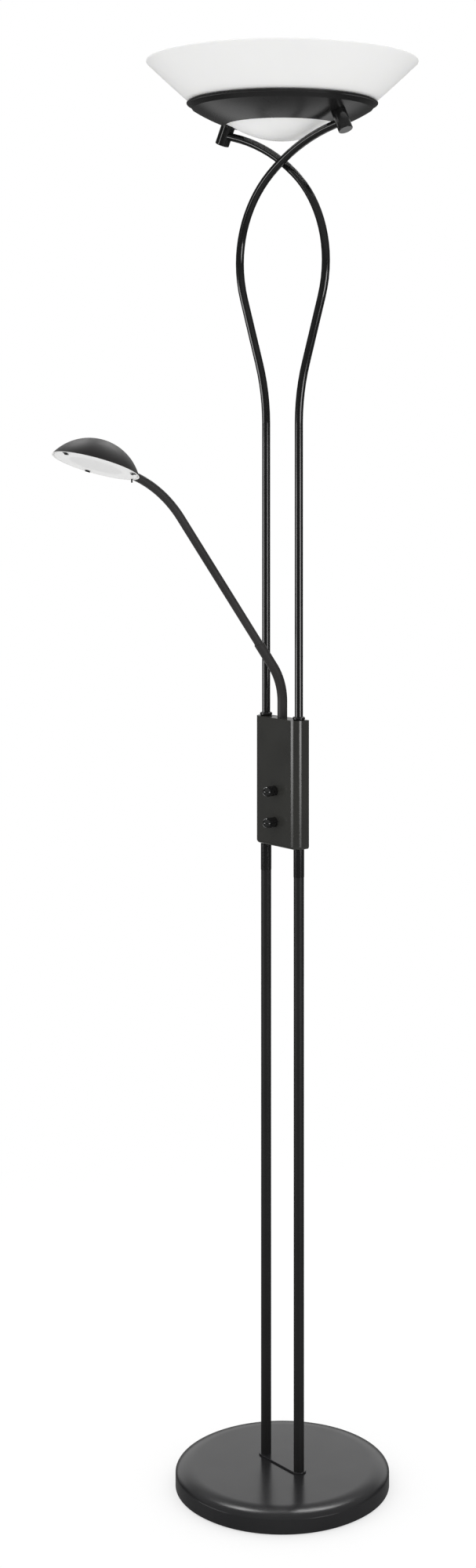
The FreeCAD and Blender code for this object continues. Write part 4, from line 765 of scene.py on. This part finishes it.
def make_head_parts():
    """Spring clips round the lens, a release tab, and the small lamp behind the lens."""
    head = head_frame()
    for index in range(CLIP_COUNT):
        turn = Matrix.Rotation(math.radians(index * 360 / CLIP_COUNT + CLIP_TURN), 4, "Z")
        clip = ribbon("lens_clip_%d" % (index + 1), CLIP_LINE, CLIP_SHEET, CLIP_HALF_WIDTH, "clip_black",
                      head @ turn)
        put(clip, "head", "zinc_steel", "head_clips")
    turn = Matrix.Rotation(math.radians(TAB_TURN), 4, "Z")
    tab = swept("lens_tab", smooth_path(TAB_LINE), TAB_RADIUS, "clip_black", head @ turn)
    put(tab, "head", "zinc_steel", "head_clips")
    lamp = head @ Matrix.Translation(BULB_PLACE) @ Matrix.Rotation(math.radians(90), 4, "X")
    glass = turned("head_lamp_glass", [
        (AXIS, 0), (STEM_RADIUS, 0), (STEM_RADIUS, 4.4), (BULB_RADIUS, 6),
        (BULB_RADIUS, 17.5, BULB_RADIUS, 8), (AXIS, 21), (AXIS, 20.2), (0.6, 20.15, -BULB_BORE, 8),
        (BULB_BORE, 17.4), (BULB_BORE, 6.6), (STEM_BORE, 5.4), (AXIS, 5.4),
    ], "tube_glass", lamp, segments=32)
    put(glass, "head", "lamp_glass", "head_lamp")
    path = [(BULB_COIL, 0, 5.2), (BULB_COIL, 0, 8.4)] + helix(BULB_COIL, pitch=0.7, start=9, end=15)
    path += [(0, 0, 15.8), (-1.5, 0, 15.4), (-LEAD_SIDE, 0, 12), (-LEAD_SIDE, 0, 5.2)]
    filament = swept("head_lamp_filament", path, BULB_WIRE, "tungsten", lamp, sides=6)
    put(filament, "head", "lamp_glass", "head_lamp")


# The straight lamp in the bowl, along its own axis
TUBE_RADIUS = 5
TUBE_BORE = 4.1
STUB_RADIUS = 3.0
STUB_LENGTH = 2
SUPPORT_PLACES = (12, 34)
SUPPORT_RADIUS = 4.0
SUPPORT_STEPS = 16
COIL_END = 42
FILAMENT_RADIUS = 0.7
LAMP_WIRE = 0.2
# A cap and its contact pin, counted from the end of the tube
CAP_PROFILE = ((3.05, 0), (3.8, 0), (4, 0.4), (4, 6.4), (3.6, 7), (1.7, 7), (1.7, 8.4), (1.2, 9), (AXIS, 9),
               (AXIS, 2.1), (3.05, 2.1))


def make_lamp_parts():
    """The straight lamp in the bowl: quartz tube, coil, supports and caps."""
    lamp = dish_frame() @ Matrix.Translation((0, 0, LAMP_LEVEL)) @ Matrix.Rotation(math.radians(90), 4, "Y")
    stub_end = LAMP_TUBE + STUB_LENGTH
    outside = [(AXIS, -stub_end), (STUB_RADIUS, -stub_end), (STUB_RADIUS, 0.5 - LAMP_TUBE),
               (TUBE_RADIUS, 3 - LAMP_TUBE)]
    inside = [(AXIS, LAMP_TUBE - 3), (TUBE_BORE, LAMP_TUBE - 4.5)]
    tube = turned("lamp_tube", mirrored(outside) + mirrored(inside), "tube_glass", lamp, segments=40)
    put(tube, "root", "lamp_glass", "linear_lamp")
    profile = [(radius, LAMP_TUBE + level) for radius, level in CAP_PROFILE]
    for index, side in enumerate((1, -1)):
        half_turn = Matrix.Rotation(math.pi * index, 4, "X")
        cap = turned("lamp_cap_%d" % (index + 1), profile, "ceramic", lamp @ half_turn, segments=40)
        put(cap, "root", "ceramic", "linear_lamp")
        for row, place in enumerate(SUPPORT_PLACES):
            level = side * place
            ring = ring_points([SUPPORT_RADIUS] * SUPPORT_STEPS, level)
            ring += [(SUPPORT_RADIUS, 0, level), (FILAMENT_RADIUS + LAMP_WIRE, 0, level)]
            support = swept("lamp_support_%d" % (index * 2 + row + 1), ring, LAMP_WIRE, "tungsten", lamp,
                            sides=6)
            put(support, "root", "lamp_glass", "linear_lamp")
    coil = helix(FILAMENT_RADIUS, pitch=0.9, start=-COIL_END, end=COIL_END, steps=10)
    path = [(0, 0, 3 - LAMP_TUBE)] + coil + [(0, 0, LAMP_TUBE - 3)]
    put(swept("lamp_coil", path, LAMP_WIRE, "tungsten", lamp, sides=6), "root", "lamp_glass", "linear_lamp")


# The fittings under the dish, along their axes from the dish's centre
NIPPLE_RADIUS = 4
NIPPLE_BORE = 2.5
NIPPLE_START = -222
NIPPLE_END = -200
NIPPLE_PITCH = 1
NUT_RADIUS = 5.8
NUT_BORE = 4.05
NUT_HEIGHT = 4
NUT_LEVEL = -204.5
# A wire's way out of the nipple, as distances from the dish's centre and to the side, and then
# over the bridge to the lamp holder, as points of the dish's frame
WIRE_IN_NIPPLE = ((206, 1.15), (199, 1.15), (193, 2.2))
WIRE_TO_HOLDER = ((81.0, 4.0, -163.5), (77.0, 5.0, -160.5), (72.9, 5.0, -160.0))
WIRE_RADIUS = 1.1
HOLDER_SCREW_SIDE = 5.0
HOLDER_SCREW = {"radius": 1.4, "length": 6, "head_radius": 2.6, "head_height": 1.6}


def make_nipple(side):
    """The threaded tube and the nut of one fitting."""
    place = fitting_frame(side)
    thread = threaded_tube("nipple_%d" % (side + 1), NIPPLE_RADIUS, NIPPLE_BORE, NIPPLE_START, NIPPLE_END,
                           NIPPLE_PITCH, "brass", place)
    put(thread, "root", "brass_thread", "fitting_nipples")
    seat = place @ Matrix.Translation((0, 0, NUT_LEVEL))
    nut = hex_nut("nipple_nut_%d" % (side + 1), NUT_RADIUS, NUT_BORE, NUT_HEIGHT, "zinc", seat)
    put(nut, "root", "zinc_steel", "nipple_nuts")


def make_wiring(side):
    """The two sleeved wires from one nipple to its lamp holder, and the holder's screws."""
    half = dish_frame() @ Matrix.Rotation(math.pi * side, 4, "Z")
    tilt = math.radians(FITTING_TILT)
    for wire, y in enumerate((-1, 1)):
        number = side * 2 + wire + 1
        corners = [(down * math.sin(tilt), y * off, -down * math.cos(tilt)) for down, off in WIRE_IN_NIPPLE]
        corners += [(x, y * off, z) for x, off, z in WIRE_TO_HOLDER]
        sleeve = swept("lamp_wire_%d" % number, smooth_path(corners), WIRE_RADIUS, "sleeving", half)
        put(sleeve, "root", "ceramic")
        spot = Matrix.Translation((HOLDER_MIDDLE, y * HOLDER_SCREW_SIDE, BRIDGE_LEVEL))
        flip = Matrix.Rotation(math.pi, 4, "X")
        screw = cross_screw("holder_screw_%d" % number, "zinc", half @ spot @ flip, **HOLDER_SCREW)
        put(screw, "root", "zinc_steel")


def make_dish_parts():
    """What shows of the two fittings inside the bowl."""
    for side in range(2):
        make_nipple(side)
        make_wiring(side)


# The base's pressed cover. Its shoulder is given as its width and its height.
BASE_SHOULDER = (24, 9)
SHOULDER_INSET = 6
SHOULDER_STEPS = 24
INLET_HOLE = 4.65
CUTTER_REACH = 4


def shoulder(radius, top, across, up):
    """The quarter of an ellipse from a wall up to the flat top."""
    turns = [math.pi / 2 * step / SHOULDER_STEPS for step in range(SHOULDER_STEPS + 1)]
    return [(radius - across + across * math.cos(turn), top - up + up * math.sin(turn)) for turn in turns]


def make_base():
    """The pressed cover of the base, with its soft shoulder and the hole for the cord."""
    across, up = BASE_SHOULDER
    inner_radius = BASE_RADIUS - BASE_WALL
    inner_top = BASE_HEIGHT - BASE_WALL
    outside = [(BASE_RADIUS, BASE_FOOT)] + shoulder(BASE_RADIUS, BASE_HEIGHT, across, up)
    inside = shoulder(inner_radius, inner_top, across - SHOULDER_INSET, up - BASE_WALL)
    inside = [(AXIS, BASE_HEIGHT), (AXIS, inner_top)] + inside[::-1] + [(inner_radius, BASE_FOOT)]
    shell = turned("base_shell", outside + inside, "base_black", Matrix.Identity(4), segments=240)
    place = Matrix.Translation((0, BASE_RADIUS, INLET_LEVEL)) @ Matrix.Rotation(math.radians(90), 4, "X")
    profile = mirrored([(AXIS, -CUTTER_REACH), (INLET_HOLE, -CUTTER_REACH)])
    cutter = turned("inlet_cutter", profile, "base_black", place, segments=48)
    hole = shell.modifiers.new("inlet", "BOOLEAN")
    hole.operation = "DIFFERENCE"
    hole.object = cutter
    cut = bpy.data.meshes.new_from_object(shell.evaluated_get(bpy.context.evaluated_depsgraph_get()))
    shell.modifiers.clear()
    shell.data = cut
    bpy.data.objects.remove(cutter)
    put(shell, "root", "satin_black_steel", "base_cover")


# The screws of the box and the base. Each stops at a turn of its own, in radians.
BOX_SCREW = {"radius": 1.15, "length": 9, "head_radius": 2.6, "head_height": 1.3}
BOX_SCREW_TURNS = (0.5, 1.6, 2.7, 3.8)
BASE_SCREW = {"radius": 1.65, "length": 11, "head_radius": 3.8, "head_height": 1.3}
BASE_SCREW_TURNS = (0.3, 1.3, 2.3)
# The grommet's profile: its distance from the hole's axis, and how far it stands out of the wall
GROMMET_PROFILE = ((3.25, -2.8), (5.4, -2.8), (6, -2.2), (6, -0.8), (4.6, -0.8), (4.6, 0.7), (6, 0.7),
                   (6, 1.5, 1.2, 6), (4.8, 2.7), (3.9, 2.7), (3.25, 2.1))


def make_fasteners():
    """Cross-recessed screws at the back of the box and under the base, and the cord's grommet."""
    backwards = Matrix.Rotation(math.radians(-90), 4, "X")
    spots = [(x, BOX_BACK, z) for z in BOX_SCREW_LEVELS for x in (-BOX_SCREW_SIDE, BOX_SCREW_SIDE)]
    for index, (spot, turn) in enumerate(zip(spots, BOX_SCREW_TURNS)):
        place = Matrix.Translation(spot) @ backwards @ Matrix.Rotation(turn, 4, "Z")
        screw = cross_screw("box_screw_%d" % (index + 1), "clip_black", place, **BOX_SCREW)
        put(screw, "root", "zinc_steel", "box_screws")
    for index, turn in enumerate(BASE_SCREW_TURNS):
        around = Matrix.Rotation(2 * math.pi * index / len(BASE_SCREW_TURNS), 4, "Z")
        spot = Matrix.Translation((0, -BASE_SCREW_CIRCLE, BASE_FOOT))
        downwards = Matrix.Rotation(math.pi, 4, "X") @ Matrix.Rotation(turn, 4, "Z")
        screw = cross_screw("base_screw_%d" % (index + 1), "zinc", around @ spot @ downwards, **BASE_SCREW)
        put(screw, "root", "zinc_steel", "base_screws")
    wall = Matrix.Translation((0, BASE_RADIUS - BASE_WALL / 2, INLET_LEVEL))
    grommet = turned("cord_grommet", GROMMET_PROFILE, "rubber", wall @ backwards, segments=64)
    put(grommet, "root", "black_rubber", "cord_inlet")


# The studio, in metres
WHITE = (1, 1, 1, 1)
FLOOR_RADIUS = 4.0
FLOOR_SIDES = 96
FLOOR_COLOUR = 0.9
# The floor that the camera sees: near the lamp this share of its white is lit, so it shows the
# shadow, and between the two distances it turns to pure white
SHADOW_SHARE = 0.38
SHADOW_EDGE = (0.45, 1.3)
# The level of the soft light from all sides
SKY_LEVEL = 1.05

# What gloss shows of the studio: its level by the angle from the middle of a white sweep behind
# the lamp, as a share of half a turn
GLOSS_STOPS = ((0.17, 1.0), (0.27, 0.03), (0.5, 0.05), (0.62, 0.25))
# The room above the sweep, and the dark below it
ROOM_LEVEL = 0.25
DARK_LEVEL = 0.08
# The sines of the angles above the horizon at which the sweep comes and goes
SWEEP_FOOT = (0.08, 0.2)
SWEEP_TOP = (0.46, 0.58)
# On the floor gloss shows a dim middle, the sweep beyond it, and the dark from further on
MIDDLE_LEVEL = ROOM_LEVEL * 0.6
MIDDLE_EDGE = (0.5, 1.5)
FAR_EDGE = (2.2, 4.0)

AIM = math.radians(CAMERA_AZIMUTH)
TO_CAMERA = Vector((math.sin(AIM), -math.cos(AIM), 0))
TO_RIGHT = Vector((math.cos(AIM), math.sin(AIM), 0))


def gloss_colour(tree, vector):
    """The sweep, the dark flags beside it and the dim room opposite, seen along a vector."""
    side = compute(tree, "Math", "ABSOLUTE", compute(tree, "VectorMath", "DOT_PRODUCT", vector, TO_RIGHT))
    ahead = compute(tree, "VectorMath", "DOT_PRODUCT", vector, -TO_CAMERA)
    share = compute(tree, "Math", "DIVIDE", compute(tree, "Math", "ARCTAN2", side, ahead), math.pi)
    ramp = add(tree, "ValToRGB", Fac=share)
    stops = ramp.color_ramp.elements
    while len(stops) < len(GLOSS_STOPS):
        stops.new(0.5)
    for stop, (place, level) in zip(stops, GLOSS_STOPS):
        stop.position = place
        stop.color = (level, level, level, 1)
    return ramp.outputs["Color"]


def ray_kind(tree, *names):
    """1 for rays of the named kinds."""
    path = add(tree, "LightPath")
    kinds = [path.outputs["Is %s Ray" % name] for name in names]
    value = kinds[0]
    for kind in kinds[1:]:
        value = compute(tree, "Math", "MAXIMUM", value, kind)
    return value


def mix_shaders(tree, factor, first, second):
    return add(tree, "MixShader", _0=factor, _1=first, _2=second).outputs[0]


def shining(tree, kind, level, colour=WHITE):
    """An Emission or Background of one level."""
    return add(tree, kind, Color=colour, Strength=level).outputs[0]


def make_floor():
    """A pale floor that keeps the lamp's shadow and turns to pure white around it."""
    mesh = bpy.data.meshes.new("studio_floor")
    mesh.from_pydata(ring_points([FLOOR_RADIUS] * FLOOR_SIDES, 0), [], [tuple(range(FLOOR_SIDES))])
    floor = bpy.data.objects.new("studio_floor", mesh)
    bpy.context.scene.collection.objects.link(floor)
    material = bpy.data.materials.new("studio_floor")
    material.use_nodes = True
    tree = material.node_tree
    tree.nodes.clear()
    point = object_point(tree)
    reach = compute(tree, "VectorMath", "LENGTH", point)
    catcher = add(tree, "BsdfDiffuse", Color=(SHADOW_SHARE, SHADOW_SHARE, SHADOW_SHARE, 1)).outputs[0]
    glow = shining(tree, "Emission", 1 - SHADOW_SHARE)
    near = add(tree, "AddShader", _0=catcher, _1=glow).outputs[0]
    white = shining(tree, "Emission", 1.0)
    seen = mix_shaders(tree, between(tree, reach, *SHADOW_EDGE), near, white)
    middle = shining(tree, "Emission", MIDDLE_LEVEL)
    sweep = shining(tree, "Emission", 1.0, gloss_colour(tree, point))
    dark = shining(tree, "Emission", DARK_LEVEL)
    inner = mix_shaders(tree, between(tree, reach, *MIDDLE_EDGE), middle, sweep)
    studio = mix_shaders(tree, between(tree, reach, *FAR_EDGE), inner, dark)
    plain = add(tree, "BsdfDiffuse", Color=(FLOOR_COLOUR, FLOOR_COLOUR, FLOOR_COLOUR, 1)).outputs[0]
    lit = mix_shaders(tree, ray_kind(tree, "Glossy"), plain, studio)
    whole = mix_shaders(tree, ray_kind(tree, "Camera", "Transmission"), lit, seen)
    add(tree, "OutputMaterial", Surface=whole)
    mesh.materials.append(material)


def make_world():
    """Plain soft light on the lamp, white behind it, and the studio that its gloss shows."""
    world = bpy.data.worlds.new("studio")
    bpy.context.scene.world = world
    world.use_nodes = True
    tree = world.node_tree
    tree.nodes.clear()
    direction = add(tree, "TexCoord").outputs["Generated"]
    up = compute(tree, "VectorMath", "DOT_PRODUCT", direction, (0, 0, 1))
    dark = shining(tree, "Background", DARK_LEVEL)
    sweep = shining(tree, "Background", 1.0, gloss_colour(tree, direction))
    room = shining(tree, "Background", ROOM_LEVEL)
    lower = mix_shaders(tree, between(tree, up, *SWEEP_FOOT), dark, sweep)
    studio = mix_shaders(tree, between(tree, up, *SWEEP_TOP), lower, room)
    light = shining(tree, "Background", SKY_LEVEL)
    lit = mix_shaders(tree, ray_kind(tree, "Glossy"), light, studio)
    white = shining(tree, "Background", 1.0)
    whole = mix_shaders(tree, ray_kind(tree, "Camera", "Transmission"), lit, white)
    add(tree, "OutputWorld", Surface=whole)


def softbox(name, turn, distance, low, high, width, level):
    """A box that gloss shows at a level where 1 is white. It faces the lamp's axis, and its turn is
    counted from the camera's direction, to the right."""
    data = bpy.data.lights.new(name, "AREA")
    data.shape = "RECTANGLE"
    data.size = width
    data.size_y = high - low
    data.energy = level * math.pi * width * (high - low)
    lamp = bpy.data.objects.new(name, data)
    towards = Matrix.Rotation(math.radians(turn), 3, "Z") @ TO_CAMERA
    lamp.location = towards * distance + Vector((0, 0, (low + high) / 2))
    lamp.rotation_euler = (-towards).to_track_quat("-Z", "Y").to_euler()
    lamp.visible_diffuse = False
    lamp.visible_camera = False
    bpy.context.scene.collection.objects.link(lamp)


def make_lights():
    """Two far, low boxes that the upright tubes mirror, and two high ones behind the lamp that give
    the base its rim of light."""
    softbox("far_right", turn=42, distance=16.0, low=-1.7, high=1.4, width=8.0, level=5.0)
    softbox("far_left", turn=-75, distance=16.0, low=-1.7, high=1.4, width=10.0, level=3.8)
    softbox("high_right", turn=160, distance=2.0, low=2.9, high=4.4, width=1.1, level=8.0)
    softbox("high_left", turn=-154, distance=2.0, low=2.9, high=4.4, width=0.8, level=8.0)


make_camera()
paint_nodes()
make_neck()
make_head_parts()
make_lamp_parts()
make_dish_parts()
make_base()
make_fasteners()
make_floor()
make_world()
make_lights()

bpy.context.scene.view_settings.view_transform = "Standard"
